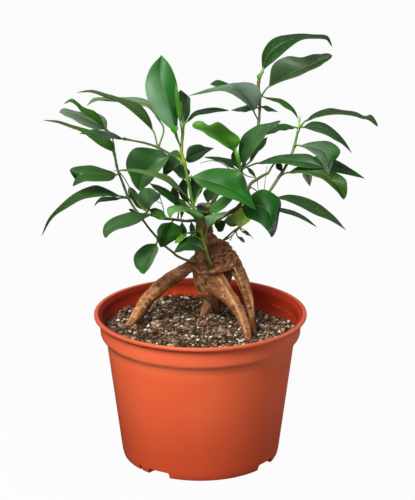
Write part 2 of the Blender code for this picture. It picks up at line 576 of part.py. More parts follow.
pot = turned("pot", pot_profile, POT_STEPS, TERRACOTTA)


def block(name, size, radius, azimuth, height):
    """A cutter: (along the wall, through the wall, up) in mm."""
    bpy.ops.mesh.primitive_cube_add(size=1.0)
    obj = bpy.context.object
    obj.name = name
    for c in list(obj.users_collection):
        c.objects.unlink(obj)
    cutters.objects.link(obj)
    for vertex in obj.data.vertices:
        vertex.co.x *= size[0] * MM
        vertex.co.y *= size[1] * MM
        vertex.co.z *= size[2] * MM
    angle = math.radians(azimuth)
    obj.location = (radius * MM * math.sin(angle),
                    -radius * MM * math.cos(angle), height * MM)
    obj.rotation_euler = (0.0, 0.0, angle)
    return as_cutter(obj)


def cut(obj, cutter):
    step = obj.modifiers.new("cut_" + cutter.name, 'BOOLEAN')
    step.operation = 'DIFFERENCE'
    step.solver = 'EXACT'
    step.object = cutter


for half in (0.0, 180.0):
    for side in (-1.0, 1.0):
        for number, (centre, width) in enumerate(NOTCHES):
            azimuth = FOOT_AXIS + half + side * centre
            across = 2.0 * RING_RADIUS * math.sin(math.radians(width / 2.0))
            tag = "%03d_%d" % (int(azimuth) % 360, number)
            cut(pot, block("notch_" + tag,
                           (across, 14.0, 2.0 * NOTCH_HEIGHT),
                           RING_RADIUS + 1.0, azimuth, 0.0))
        azimuth = FOOT_AXIS + half + side * NOTCHES[0][0]
        cut(pot, block("drain_%03d" % (int(azimuth) % 360),
                       (DRAIN_SIZE[0], DRAIN_SIZE[1], 6.0),
                       DRAIN_RADIUS, azimuth, ROOF))
        rib = block("rib_%03d" % (int(azimuth) % 360), RIB_SIZE, RIB_RADIUS,
                    FOOT_AXIS + half + side * RIB_AT, 0.4 + RIB_SIZE[2] / 2.0)
        join = pot.modifiers.new("join_" + rib.name, 'BOOLEAN')
        join.operation = 'UNION'
        join.solver = 'EXACT'
        join.object = rib


# ----------------------------------------------------------------- rootstock
def path(points, steps):
    """Smooth samples of (u, v, behind, radius) as places and radii."""
    places, radii = [], []
    for i in range(steps):
        u, v, behind, r = along(points, i / (steps - 1))
        places.append(sight(u, v, behind))
        radii.append(r)
    return places, radii


TRUNK = [(204.5, 204.5, 12, 5.4), (204, 214, 12, 5.6), (204, 226, 12, 6.0),
         (205.5, 238, 12, 7.6), (209, 248, 12, 11.5), (211, 258, 12, 13.6),
         (210.5, 268, 12, 12.8), (209.5, 278, 12, 11.4), (209.8, 287, 13, 9.3),
         (211, 295.5, 17, 5.4), (208.8, 303, 22, 4.0), (205.6, 310, 27, 3.2),
         (203.2, 317, 30, 2.5)]
SHOULDER = [(207, 246, 13, 8.0), (216, 248.2, 13, 8.2), (224, 254.2, 12, 7.7),
            (233.6, 264, 10, 6.1), (240.6, 275.5, 8, 4.7), (244.8, 287, 5, 4.2),
            (248.7, 299, 2, 3.4), (251.5, 312, -1, 2.8), (254, 327, -3, 2.0),
            (254.8, 338, -4, 1.5)]
FRONT_ROOT = [(211, 276, 6, 9.6), (217.5, 284, 0, 7.9), (227, 295.5, -6, 5.7),
              (235.6, 306.5, -11, 4.6), (242, 318, -15, 3.8),
              (246.6, 330, -18, 3.1), (248.6, 342, -20, 2.3)]
LEFT_ROOT = [(205, 257.5, 11, 8.2), (191, 265.4, 10, 4.5), (182, 271.6, 10, 5.0),
             (168, 281, 9, 5.1), (156.5, 289.8, 8, 5.1), (146.2, 301, 8, 5.1),
             (139.3, 312, 8, 4.7), (132.5, 323, 8, 3.6),
             (125.5, 331, 8, 2.6)]
REAR_ROOT = [(221, 262, 16, 7.0), (226.8, 270.5, 19, 4.6), (225.5, 280, 24, 3.9),
             (223.5, 290, 30, 3.3), (220.5, 301, 36, 2.7), (217.5, 311, 40, 2.2)]
ROOT_TIPS = {"left": LEFT_ROOT, "front": FRONT_ROOT, "right": SHOULDER,
             "rear": REAR_ROOT, "under": TRUNK}

strands = []
for tag, route, steps in (("trunk", TRUNK, 26), ("shoulder", SHOULDER, 22),
                          ("front_root", FRONT_ROOT, 18),
                          ("left_root", LEFT_ROOT, 22),
                          ("rear_root", REAR_ROOT, 14)):
    places, radii = path(route, steps)
    strands.append(meshed(tube(tag, places, radii, BARK, sides=4)))

# the strands have grown together into one body
bm = bmesh.new()
for strand in strands:
    bm.from_mesh(strand.data)
grown = bpy.data.meshes.new("rootstock")
bm.to_mesh(grown)
bm.free()
for strand in strands:
    bpy.data.objects.remove(strand, do_unlink=True)
rootstock = place("rootstock", grown, BARK)
fuse = rootstock.modifiers.new("fuse", 'REMESH')
fuse.mode = 'VOXEL'
fuse.voxel_size = 0.0011
fuse.adaptivity = 0.0
thin = rootstock.modifiers.new("thin", 'DECIMATE')
thin.ratio = 0.055
final = evaluated_mesh(rootstock)
rootstock.modifiers.clear()
rootstock.data = final

bark_tree = BVHTree.FromObject(rootstock, bpy.context.evaluated_depsgraph_get())


# ---------------------------------------------------------------------- soil
def soil_height(x, y):
    """The uneven soil surface (mm): heaped at the back, low on the right."""
    z = SOIL_LEVEL
    z += 3.6 * math.exp(-((x + 22) ** 2 + (y - 62) ** 2) / 260.0)
    z -= 4.6 * math.exp(-((x - 47) ** 2 + (y - 40) ** 2) / 700.0)
    z += 1.8 * math.exp(-((x + 52) ** 2 + (y - 30) ** 2) / 500.0)
    z += 1.4 * math.exp(-((x - 8) ** 2 + (y + 20) ** 2) / 900.0)
    z += 0.5 * math.sin(x * 0.21 + 1.0) * math.cos(y * 0.17)
    return z


inner = [(outer_radius(ROOF) - WALL - GAP, ROOF + GAP),
         (outer_radius(BODY_TOP_HEIGHT) - WALL - GAP, BODY_TOP_HEIGHT + 0.2)]
soil_profile = ([(0.0, SOIL_LEVEL)]
                + [(r, SOIL_LEVEL) for r in (14, 28, 42, 55)]
                + [(outer_radius(BODY_TOP_HEIGHT) - WALL - GAP, SOIL_LEVEL)]
                + inner[::-1]
                + [(CHANNEL_INNER_RADIUS - 1.0, ROOF + GAP),
                   (PLATEAU_RADIUS - FLOOR - 0.3, FLOOR + GAP),
                   (0.0, FLOOR + GAP)])
soil = turned("soil", soil_profile, 28, PEAT)
packed = evaluated_mesh(soil)
soil.modifiers.clear()
soil.data = packed
for vertex in packed.vertices:
    x, y, z = (c / MM for c in vertex.co)
    if abs(z - SOIL_LEVEL) < 0.01:
        vertex.co.z = soil_height(x, y) * MM

for tag, route in ROOT_TIPS.items():
    places, radii = path(route, 20)
    places, radii = places[-9:], radii[-9:]
    end = places[-1] + (places[-1] - places[-2]).normalized() * 1.4
    bore = meshed(tube("bore_" + tag, places + [end],
                       [r + 1.1 for r in radii] + [radii[-1] + 1.1],
                       BARK, sides=3, collection=cutters))
    cut(soil, as_cutter(bore))


# --------------------------------------------------------------------- stems
def clear_of(tree, places, radii, gap):
    """Drop the points at the start that are in or too near a surface."""
    keep = 0
    for i, (p, r) in enumerate(zip(places, radii)):
        at = p * MM
        spot, normal, _, distance = tree.find_nearest(at)
        inside = (at - spot).dot(normal) < 0.0
        if inside or distance < (r + gap) * MM:
            keep = i + 1
    return places[keep:], radii[keep:]


stem_axis = {}
stem_trees = {}
for name, branches in STEMS.items():
    pieces = []
    axis = []
    for number, route in enumerate(branches):
        route = [(u, v, behind + leaned(name, v), r)
                 for u, v, behind, r in route]
        fine, fine_radii = path(route, 160)
        axis += list(zip(fine, fine_radii))
        if number == 0:
            fine, fine_radii = clear_of(bark_tree, fine, fine_radii, GAP)
        steps = 1 + 3 * len(route) // 2
        picks = [round(i * (len(fine) - 1) / (steps - 1)) for i in range(steps)]
        pieces.append(meshed(tube(name if number == 0 else name + "_branch",
                                  [fine[i] for i in picks],
                                  [fine_radii[i] for i in picks],
                                  OLD_STEM if name == "stem_brown" else YOUNG_STEM,
                                  sides=1)))
    stem = pieces[0]
    for branch in pieces[1:]:
        join = stem.modifiers.new("grow", 'BOOLEAN')
        join.operation = 'UNION'
        join.solver = 'EXACT'
        join.object = branch
        joined = evaluated_mesh(stem)
        stem.modifiers.clear()
        stem.data = joined
        bpy.data.objects.remove(branch, do_unlink=True)
    stem_axis[name] = axis
    stem_trees[name] = BVHTree.FromObject(
        stem, bpy.context.evaluated_depsgraph_get())


# -------------------------------------------------------------------- leaves
def breadth(t):
    """How broad a leaf is along its length, 1 at its widest."""
    return math.sin(math.pi * min(max(t, 0.0), 1.0) ** 0.85) ** 0.8


def edge(mid, side, lean, half_width):
    """The edge's control points: (u, v) as read, its depth from the width."""
    controls = [mid[0]]
    last = len(mid) - 1
    for i, (u, v) in enumerate(side):
        mu, mv, behind = mid[i + 1]
        across = math.hypot(u - mu, v - mv) / 1.41
        whole = half_width * breadth((i + 1) / last)
        controls.append((u, v, behind + lean
                         * math.sqrt(max(whole ** 2 - across ** 2, 0.0))))
    controls.append(mid[-1])
    return controls


def leaf(name, stem_name, stalk_at, half_width, lean_a, lean_b, mid, a, b):
    shift = leaned(stem_name, stalk_at[1])
    mid = [(u, v, behind + shift) for u, v, behind in mid]
    side_a = edge(mid, a, lean_a, half_width)
    side_b = edge(mid, b, lean_b, half_width)
    foot = sight(*mid[0])
    ahead = (sight(*along(mid, 0.12)) - foot).normalized()
    # the stalk, from the stem's axis to the blade's foot
    node = min(stem_axis[stem_name],
               key=lambda s: math.dist(seen(s[0]), stalk_at))[0]
    reach = foot - node
    bend = (node, node + reach * 0.35,
            foot - ahead * reach.length * 0.3, foot)
    stalk = []
    for i in range(24):
        t = i / 23.0
        stalk.append(bend[0] * (1 - t) ** 3 + bend[1] * 3 * t * (1 - t) ** 2
                     + bend[2] * 3 * t * t * (1 - t) + bend[3] * t ** 3)
    for tree in list(stem_trees.values()) + [bark_tree]:
        stalk, _ = clear_of(tree, stalk, [PETIOLE_HALF_WIDTH] * len(stalk),
                            GAP + 0.1)
    across = (sight(*along(side_b, 0.3)) - sight(*along(side_a, 0.3))).normalized()
    rows = []
    if len(stalk) > 2:
        for i in range(PETIOLE_ROWS):
            p = stalk[round(i * (len(stalk) - 2) / PETIOLE_ROWS)]
            w = across * PETIOLE_HALF_WIDTH
            rows.append((p - w, p, p + w))
    for i in range(BLADE_ROWS):
        t = i / (BLADE_ROWS - 1)
        m = sight(*along(mid, t))
        pa = sight(*along(side_a, t))
        pb = sight(*along(side_b, t))
        if i in (0, BLADE_ROWS - 1):
            w = across * (PETIOLE_HALF_WIDTH if i == 0 else 0.5)
            pa, pb = m - w, m + w
        rows.append((pa, m, pb))
    bm = bmesh.new()
    grid = [[bm.verts.new(p * MM) for p in row] for row in rows]
    for low, high in zip(grid, grid[1:]):
        for j in range(2):
            bm.faces.new((low[j], low[j + 1], high[j + 1], high[j]))
    bmesh.ops.recalc_face_normals(bm, faces=bm.faces)
    mesh = bpy.data.meshes.new(name)
    bm.to_mesh(mesh)
    bm.free()
    obj = place(name, mesh, LEAF)
    sheet = obj.modifiers.new("thickness", 'SOLIDIFY')
    sheet.thickness = LEAF_THICKNESS * MM
    sheet.offset = 0.0
    return obj


for row in LEAVES:
    leaf(*row)

for obj in ficus.objects:
    if obj.type == 'MESH' and obj.name in ("pot", "rootstock"):
        obj.data.shade_smooth()
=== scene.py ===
import math
import random

import bmesh
import bpy
import numpy as np
from mathutils import Matrix, Vector, noise
from mathutils.bvhtree import BVHTree
from mathutils.kdtree import KDTree


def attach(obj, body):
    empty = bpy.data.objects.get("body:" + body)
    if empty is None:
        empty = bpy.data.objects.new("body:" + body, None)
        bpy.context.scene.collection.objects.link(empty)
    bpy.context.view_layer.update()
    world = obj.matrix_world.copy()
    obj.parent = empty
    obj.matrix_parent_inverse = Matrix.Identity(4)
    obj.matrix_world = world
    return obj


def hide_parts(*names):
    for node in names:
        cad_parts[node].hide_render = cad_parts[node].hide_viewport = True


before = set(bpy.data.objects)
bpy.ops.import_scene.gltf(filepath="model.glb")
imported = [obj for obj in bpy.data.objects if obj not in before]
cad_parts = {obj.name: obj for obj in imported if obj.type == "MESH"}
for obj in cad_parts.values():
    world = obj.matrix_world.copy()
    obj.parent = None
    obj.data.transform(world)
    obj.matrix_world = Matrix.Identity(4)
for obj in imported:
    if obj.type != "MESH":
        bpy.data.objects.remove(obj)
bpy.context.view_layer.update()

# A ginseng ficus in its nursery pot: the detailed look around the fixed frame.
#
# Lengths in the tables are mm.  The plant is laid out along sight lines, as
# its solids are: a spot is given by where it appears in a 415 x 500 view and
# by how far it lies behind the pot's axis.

MM = 0.001

# ---------------------------------------------------------------- dimensions
RIM_RADIUS = 76.0
POT_HEIGHT = 107.1
LIP_DEPTH = 2.4
LIP_FLAT = 2.6
COLLAR_TOP_RADIUS = 71.6
COLLAR_FOOT_RADIUS = 71.5
COLLAR_FOOT_HEIGHT = 92.0
BODY_TOP_RADIUS = 67.1
BODY_TOP_HEIGHT = 84.8
BODY_FOOT_RADIUS = 57.0
BODY_FOOT_HEIGHT = 3.7
RING_RADIUS = 56.0
WALL = 1.6
FLOOR = 2.0
CHANNEL_HEIGHT = 6.8
CHANNEL_INNER_RADIUS = 47.0
PLATEAU_RADIUS = 42.5
# notches in the foot ring: mirrored about this azimuth (deg, 0 = front,
# + = to the right seen from the front)
FOOT_AXIS = 12.0
NOTCH_HEIGHT = 4.4
NOTCHES = ((43.6, 17.8), (60.8, 2.6))      # centre and width, each side
RIB_AT = 53.6                              # a rib inside, beside each notch
RIB_SIZE = (2.4, 9.8, 7.0)
RIB_RADIUS = 50.8
DRAIN_SIZE = (9.0, 5.0)
DRAIN_RADIUS = 50.6

# soil
SOIL_LEVEL = 92.4
GAP = 0.3

# the view that the layout is read from
VIEW_FROM = Vector((5.08, -1213.9, 538.2))
VIEW_DOWN = math.radians(17.61)
VIEW_SCALE = 1800.0
VIEW_CENTRE = (207.5, 250.0)

VIEW_AHEAD = Vector((0.0, math.cos(VIEW_DOWN), -math.sin(VIEW_DOWN)))
VIEW_UP = Vector((0.0, math.sin(VIEW_DOWN), math.cos(VIEW_DOWN)))
VIEW_RIGHT = Vector((1.0, 0.0, 0.0))


def sight(u, v, behind):
    """The place (mm) seen at (u, v), `behind` mm behind the pot's axis."""
    ray = (VIEW_AHEAD
           + VIEW_RIGHT * ((u - VIEW_CENTRE[0]) / VIEW_SCALE)
           + VIEW_UP * ((VIEW_CENTRE[1] - v) / VIEW_SCALE))
    return VIEW_FROM + ray * ((behind - VIEW_FROM.y) / ray.y)


def seen(p):
    """Where a place (mm) appears in the view."""
    d = p - VIEW_FROM
    depth = d.dot(VIEW_AHEAD)
    return (VIEW_CENTRE[0] + VIEW_SCALE * d.dot(VIEW_RIGHT) / depth,
            VIEW_CENTRE[1] - VIEW_SCALE * d.dot(VIEW_UP) / depth)


def leaned(stem, v):
    row, slope = LEAN[stem]
    return slope * (row - v)


def along(points, t):
    """A smooth curve through tuples or vectors, at t from 0 to 1."""
    n = len(points)
    if n == 1:
        return tuple(points[0])
    x = min(max(t, 0.0), 1.0) * (n - 1)
    i = min(int(x), n - 2)
    f = x - i
    p1, p2 = points[i], points[i + 1]
    p0 = points[i - 1] if i > 0 else [2 * a - b for a, b in zip(p1, p2)]
    p3 = points[i + 2] if i + 2 < n else [2 * b - a for a, b in zip(p1, p2)]
    return tuple(
        0.5 * (2 * b + (c - a) * f + (2 * a - 5 * b + 4 * c - d) * f * f
               + (3 * b - a - 3 * c + d) * f ** 3)
        for a, b, c, d in zip(p0, p1, p2, p3))

# ------------------------------------------------------------------ layout
# stems: (u, v, behind, radius in mm), from the trunk outwards
STEMS = {
    "stem_left": [[
        (197, 262, 6, 1.25), (188, 260.5, 3, 1.0), (178, 256.5, 0, 0.88),
        (172, 251.5, -2, 0.84), (165, 246, -4, 0.82), (157, 237.5, -6, 0.80),
        (150, 229.5, -7, 0.78), (144, 221.5, -8, 0.80), (137, 212, -8, 0.85),
        (128.5, 198, -8, 0.9), (122, 181, -9, 0.85), (117.5, 169, -10, 0.8),
        (114.8, 156, -10, 0.7)]],
    "stem_centre": [[
        (211, 267, 2, 1.6), (209.5, 262, -5, 1.25), (206, 252, -7, 1.08),
        (203.5, 241, -8, 1.02), (200.5, 230, -10, 1.02), (197.5, 220, -11, 1.05),
        (194, 209, -11, 1.05), (191, 196, -11, 1.08), (188.5, 182, -12, 1.1),
        (184.5, 163, -12, 1.12), (181.5, 152, -12, 1.1), (182.0, 142, -12, 0.95),
        (183, 127, -10, 0.9), (181.4, 108, -7, 0.7)],
        [(185.2, 165, -12, 1.0), (178, 158.5, -12, 0.9), (170, 154, -11, 0.85),
         (158, 147.5, -10, 0.8), (146, 143.3, -11, 0.75), (135, 141, -12, 0.7),
         (126, 139.2, -12, 0.65)]],
    "stem_upper_right": [[
        (205, 229, 12, 1.8), (209, 216, 8, 1.6), (213, 203, 6, 1.5),
        (217, 195, 5, 1.4), (225, 186, 4, 1.3), (234, 178, 4, 1.25),
        (241, 170, 4, 1.2), (247, 156, 6, 1.1), (253, 141, 8, 1.0),
        (258, 126, 9, 0.95), (259.6, 112, 9, 0.95), (259.6, 98, 8, 1.0),
        (258.4, 86, 7, 1.1), (259.3, 79, 6, 1.0), (261.3, 74, 5, 0.8)]],
    "stem_right": [[
        (221, 243, 13, 1.1), (226, 238, 12, 0.8), (232, 232.5, 11, 0.7),
        (238.5, 228, 10, 0.72), (245, 221, 8, 0.85), (253, 212, 5, 0.95),
        (262, 201, 4, 1.0), (270.5, 190, 4, 1.05), (278, 178.5, 5, 1.05),
        (283, 171, 7, 1.0), (287.5, 163, 8, 1.0), (291, 155.5, 8, 1.0),
        (294.5, 146, 7, 0.95), (297, 135, 5, 0.9), (299, 127.5, 4, 0.85),
        (299.3, 122, 4, 0.7)]],
    "stem_brown": [[
        (206, 231, 10, 1.7), (212, 223, 2, 1.5), (218, 219, -2, 1.45),
        (228, 213.5, -5, 1.4), (237, 208, -6, 1.35), (243.5, 200, -5, 1.3),
        (247.5, 191, -4, 1.2), (251, 183.5, -2, 1.15), (257, 179.3, 0, 1.1),
        (264, 175, 3, 1.0), (268, 173, 4, 0.9), (271, 168, 5, 0.7),
        (273.5, 164.5, 6, 0.6)]],
    "stem_short_left": [[
        (201, 222, 12, 1.4), (194, 220.5, 4, 1.1), (186, 221, -1, 0.9),
        (178, 220, -3, 0.82), (170, 219, -8, 0.8), (161, 218.7, -12, 0.75),
        (153.5, 215.6, -16, 0.7)]],
}

# how far each stem and its leaves lean: from this row upwards, mm behind the
# depths given here for each unit of height in the view
LEAN = {
    "stem_left": (262, -0.15),
    "stem_centre": (267, -0.07),
    "stem_upper_right": (229, 0.22),
    "stem_right": (243, 0.08),
    "stem_brown": (231, 0.0),
    "stem_short_left": (222, 0.0),
}

# leaves: name, stem, where the stalk leaves it (u, v), half width in mm,
# how each edge leans (-1 towards the front, +1 towards the back), then the
# midrib from its foot to the tip (u, v, behind), and both edges (u, v) at
# the midrib's inner points
LEAVES = [
    ("leaf_upright", "stem_centre", (181.2, 150), 12, -1, 1,
     [(176.5, 134, -15), (173.5, 120, -15), (168, 102, -12), (162, 82, -6),
      (160, 67, -1), (161.5, 55, 3)],
     [(160, 119.5), (148.5, 102), (145.3, 84), (150.5, 67.5)],
     [(177.8, 121), (178.3, 101), (176.3, 81), (170.5, 66)]),
    ("leaf_behind_upright", "stem_centre", (183, 128), 11, 1, -1,
     [(184, 124, -4), (184.5, 113, 4), (185, 104, 11), (184, 97, 17),
      (180.5, 89.6, 22)],
     [(176.8, 113), (176, 103), (177.4, 95)],
     [(189.8, 114), (190.2, 104.5), (189.2, 97)]),
    ("leaf_long_left", "stem_centre", (157.5, 147.3), 12, 1, -1,
     [(153.3, 131, -8), (145, 117.5, -6), (134, 107.5, -3), (120, 100.3, 1),
      (105, 95, 4), (91, 91, 5), (77, 92.3, 3)],
     [(149.8, 118), (140, 105), (121, 98.2), (106, 94.2), (91, 90.2)],
     [(140, 118.8), (127, 107.4), (115, 100.6), (104, 95.8), (91, 91.7)]),
    ("leaf_grey_left", "stem_centre", (158.5, 147.7), 11, 1, -1,
     [(162.5, 125, 6), (151, 106, 16), (138, 101, 23), (122, 100, 28),
      (107, 99.2, 30), (96, 99.5, 29), (87, 105.2, 26)],
     [(153, 104.5), (138, 97.4), (122, 97.6), (107, 97.5), (94, 97.9)],
     [(149, 108.6), (138, 105.6), (122, 103), (107, 100.5), (96, 101)]),
    ("leaf_young_left", "stem_left", (114.9, 157), 7, 1, -1,
     [(105.5, 130, -5), (99, 120.7, -10), (90, 113, -14), (81, 107, -17),
      (75.5, 102.8, -18), (70, 100.3, -17), (64, 103.4, -15)],
     [(101, 119), (94, 110.9), (84, 107.4), (78.3, 102.8), (71.5, 98.8)],
     [(96, 121.8), (87, 115.6), (80, 110.4), (75, 104.6), (70, 102)]),
    ("leaf_grey_pointed", "stem_left", (116.6, 165), 12, 1, -1,
     [(107, 130, -1), (97, 123, 0), (86, 117.5, 0), (75, 113.5, -1),
      (66, 111.7, -2), (59, 112.3, -3)],
     [(105.8, 119), (92, 112), (76, 111.2), (63, 108.4)],
     [(93, 129), (82, 124.2), (72, 119.2), (64, 115)]),
    ("leaf_left_arch", "stem_left", (115.2, 160), 10, 1, -1,
     [(114.3, 152.5, -11), (108, 144, -14), (99, 136.5, -16),
      (86, 130.7, -18), (72, 126.3, -19), (58, 121.8, -19), (43, 120, -17)],
     [(111.8, 141.5), (101, 133), (86, 128.8), (72, 125.3), (58, 120.7)],
     [(103, 147.5), (93, 140.3), (83, 133.3), (71.5, 127.4), (58, 122.9)]),
    ("leaf_left_side_on", "stem_centre", (127, 139.5), 10, 1, -1,
     [(123.5, 138.7, -14), (112, 136, -30), (101, 134.7, -41),
      (91, 133.2, -47), (79.5, 133.4, -51)],
     [(111, 132.2), (100, 130.2), (91, 129.6)],
     [(112, 138.7), (101, 139.5), (92, 136.2)]),
    ("leaf_large_left", "stem_centre", (172, 155), 14, 1, -1,
     [(170, 156.5, -7), (160, 160.5, -7), (150, 167, -8),
      (142, 177, -9), (138.6, 190.5, -10)],
     [(157, 149), (134, 148.6), (126, 166)],
     [(165.5, 163.5), (157, 174), (148, 185)]),
    ("leaf_left_level", "stem_left", (119, 173.5), 11, 1, -1,
     [(117, 174.5, -12), (108, 174, -15), (97, 173, -18), (85, 173, -20),
      (77, 176, -19), (76, 180, -12)],
     [(110, 170.8), (98, 167), (86, 165.4), (70.5, 169.3)],
     [(111, 180.5), (98, 181.6), (85, 181.3), (73.3, 186)]),
    ("leaf_left_drooping", "stem_left", (128.4, 197.5), 11, 1, -1,
     [(120, 196, -11), (108, 193.7, -15), (95, 193.6, -19),
      (80, 197.5, -23), (65, 205.5, -26), (51, 217.5, -28),
      (41.7, 235.8, -29)],
     [(108, 189.2), (94, 185.6), (76, 192.3), (60, 205.8), (48, 219.8)],
     [(108, 195.9), (96, 197), (82, 199.8), (67, 207.8), (53, 217.9)]),
    ("leaf_left_low", "stem_short_left", (153.5, 215.6), 12, 1, -1,
     [(151, 214.3, -19), (141, 217, -28), (130, 220.5, -34), (118, 224, -38),
      (108, 228.5, -41), (104.5, 237, -42)],
     [(141, 212.8), (129, 212.2), (116, 216.3), (104, 225)],
     [(140, 221.8), (130, 226), (118, 229.6), (110, 233.6)]),
    ("leaf_lowest_left", "stem_left", (157.5, 238.2), 10.5, 1, -1,
     [(156.5, 243.5, -8), (151.5, 250, -12), (147.3, 257.5, -15),
      (144.6, 265.5, -17), (143.2, 274, -18)],
     [(144.6, 244.8), (134.6, 255), (134.9, 266)],
     [(158.2, 250.6), (153.6, 260.3), (149.2, 268.8)]),
    ("leaf_low_centre", "stem_short_left", (174, 219.6), 14, -1, 1,
     [(172, 222, -7), (169.5, 227, -13), (166, 234, -17),
      (163.5, 240.5, -19), (161.5, 247.3, -20)],
     [(161, 224), (157.3, 232), (157.8, 241)],
     [(180, 226.5), (182, 233.5), (174, 240.5)]),
    ("leaf_on_trunk", "stem_centre", (205.8, 251), 11, 1, -1,
     [(203, 249, -13), (196, 245, -18), (188, 243.5, -22),
      (181, 247, -24), (173.5, 252.7, -25)],
     [(199, 238.3), (189, 236), (180.5, 241.5)],
     [(197, 251), (188, 250.2), (181, 251.6)]),
    ("leaf_pale_short", "stem_left", (141, 217), 11, 1, -1,
     [(148, 211, -2), (148, 204, 7), (148.5, 196.5, 16), (146, 187.8, 24)],
     [(142.5, 203), (138.5, 194)],
     [(153.5, 203.5), (160.5, 194.8)]),
    ("leaf_along_stem", "stem_left", (139.5, 215), 8, 1, -1,
     [(146.5, 211, -5), (141, 204.5, -4), (136.5, 198, -3),
      (133, 192, -1), (129, 186.5, 2)],
     [(137, 207), (131.5, 199.5), (128, 192)],
     [(145.5, 206), (140.5, 198.5), (135, 190)]),
    ("leaf_pale_arch", "stem_centre", (192.3, 203), 11, 1, -1,
     [(184.5, 194.5, -18), (178, 187.5, -25), (169, 180.7, -31),
      (158, 175.6, -36), (144, 172, -38), (129, 170, -38),
      (113, 170.7, -37)],
     [(181, 188.5), (171, 177.4), (159, 172.9), (144, 170), (129.5, 168.8)],
     [(174.5, 188.5), (167, 182.6), (156, 177.3), (143, 173.6),
      (129, 171.2)]),
    ("leaf_dark_left", "stem_centre", (193.2, 207), 10, 1, -1,
     [(181.5, 205.5, -9), (173, 198, -11), (165, 192, -11),
      (158, 187.7, -8), (149.5, 183, -3)],
     [(175.3, 196.5), (166, 188.7), (158, 185.4)],
     [(171.3, 202), (162, 195), (155.5, 190)]),
    ("leaf_back_pair_right", "stem_centre", (184.8, 162.5), 12, 1, -1,
     [(185.6, 159.8, -4), (192, 155.6, 8), (200, 151.5, 19), (206, 149, 28),
      (214, 148.3, 35)],
     [(188.5, 147.6), (199, 144.6), (205.5, 146.6)],
     [(189, 162.8), (200, 159), (207, 152.5)]),
    ("leaf_back_pair_left", "stem_centre", (184.6, 162), 9, 1, -1,
     [(182.6, 159.5, -6), (178, 159, -1), (172, 162.3, 3), (164, 171, 6)],
     [(177.6, 150.4), (168.5, 154.5)],
     [(178.6, 165.4), (171.5, 170)]),
    ("leaf_dark_back_left", "stem_centre", (188.2, 180.5), 10, -1, 1,
     [(186, 179, -7), (183, 173, 2), (177, 168, 11), (171, 164.7, 20),
      (164, 161, 28)],
     [(180, 177.5), (175, 172.5), (170, 167.5)],
     [(190, 172), (183, 165.3), (173, 163.3)]),
    ("leaf_top", "stem_upper_right", (261, 74.5), 12, 1, -1,
     [(262.3, 71, 5), (268, 55, 8), (280, 44, 9), (297, 37.3, 7),
      (313, 36.6, 3), (326, 38, -1), (332, 46.5, -5)],
     [(262.5, 53), (274, 37.9), (296, 33.9), (313, 34.9), (327.5, 35.8)],
     [(273, 62), (288, 49), (301, 40.8), (313, 38.4), (326, 39.8)]),
    ("leaf_second_top", "stem_upper_right", (259.8, 99), 13, 1, -1,
     [(268.5, 87, 4), (281, 79, 1), (294, 71.5, -4), (307, 65.8, -8),
      (320, 60.5, -11), (332.3, 55.5, -13)],
     [(272.5, 65.5), (287, 56.2), (302, 57.2), (316, 53.9)],
     [(282, 81.7), (297, 76.5), (309, 71.3), (321, 65.3)]),
    ("leaf_long_centre", "stem_upper_right", (258.8, 120.5), 12, 1, -1,
     [(253.8, 111.5, 4), (249, 101, 0), (241, 91, -4), (229, 86.5, -8),
      (213, 90, -12), (189, 95.6, -16)],
     [(262, 96.5), (253, 83.6), (236, 82.8), (212, 88)],
     [(246, 104), (236, 96.5), (224, 91.3), (210, 91.8)]),
    ("leaf_thin_arch", "stem_centre", (183, 134), 11, 1, -1,
     [(186, 122, -13), (194, 114.3, -13), (204, 111.5, -10),
      (214, 110.2, -6), (222, 110, -2), (229, 110.4, 1)],
     [(193.5, 112.8), (204, 109.2), (214, 107.6), (221, 108.6)],
     [(195, 116), (204, 114), (214, 112.8), (222, 111.6)]),
    ("leaf_back_of_fork", "stem_upper_right", (259.5, 108), 11, 1, -1,
     [(256, 107.5, 13), (249, 108, 24), (241, 109, 35), (231, 110.3, 44)],
     [(249, 105), (240.5, 107)],
     [(249, 111.3), (240.5, 111.8)]),
    ("leaf_bright_blunt", "stem_upper_right", (240.8, 170.5), 13, 1, -1,
     [(234.5, 151.5, -4), (228.5, 144, -8.5), (221.5, 137, -12),
      (213.5, 131.5, -15), (205.8, 128, -17.5), (198.5, 125.4, -18.5),
      (192.4, 124.2, -18)],
     [(240, 139), (230, 130.2), (218, 122.2), (209, 125), (201, 120.8)],
     [(227.2, 147.6), (218, 141.7), (210, 136.6), (203.2, 132.4),
      (196.6, 128.8)]),
    ("leaf_large_grey", "stem_upper_right", (241.2, 170), 13, 1, -1,
     [(243, 166, -1), (247, 154, -4), (252, 141, -6), (259, 131.5, -8),
      (268, 126, -9), (280, 120.5, -9)],
     [(238.5, 151), (243, 135.5), (254, 126.8), (267, 123.4)],
     [(252, 154), (260, 143), (268, 132), (275.5, 126.8)]),
    ("leaf_behind_grey", "stem_upper_right", (242.5, 166.5), 9, 1, -1,
     [(249.5, 162, 12), (254.5, 153.5, 21), (260.5, 146, 30), (267.5, 137, 38)],
     [(251.5, 152), (256.5, 142)],
     [(257, 152.3), (264.5, 146.3)]),
    ("leaf_dark_band", "stem_right", (298.8, 128.5), 11, 1, -1,
     [(295, 127, 3), (287, 127.2, 12), (279, 127.7, 21), (271, 130, 30),
      (262, 136, 38)],
     [(287, 124.2), (279, 123.9), (270.5, 126.2)],
     [(287, 129.8), (279, 131), (272, 133.6)]),
    ("leaf_far_right_high", "stem_right", (298.8, 129.5), 11, 1, -1,
     [(305.5, 121, 2), (316, 115.2, 9), (329, 112, 15), (342, 112.3, 20),
      (354, 114, 23), (363.3, 117.2, 24), (370.6, 118.6, 24),
      (378, 126.2, 22)],
     [(314.4, 112.9), (329, 108.4), (342, 109.9), (354.6, 111.8),
      (364, 116.1), (371.4, 115)],
     [(317.4, 117.4), (329, 115), (342, 114.8), (352.6, 116),
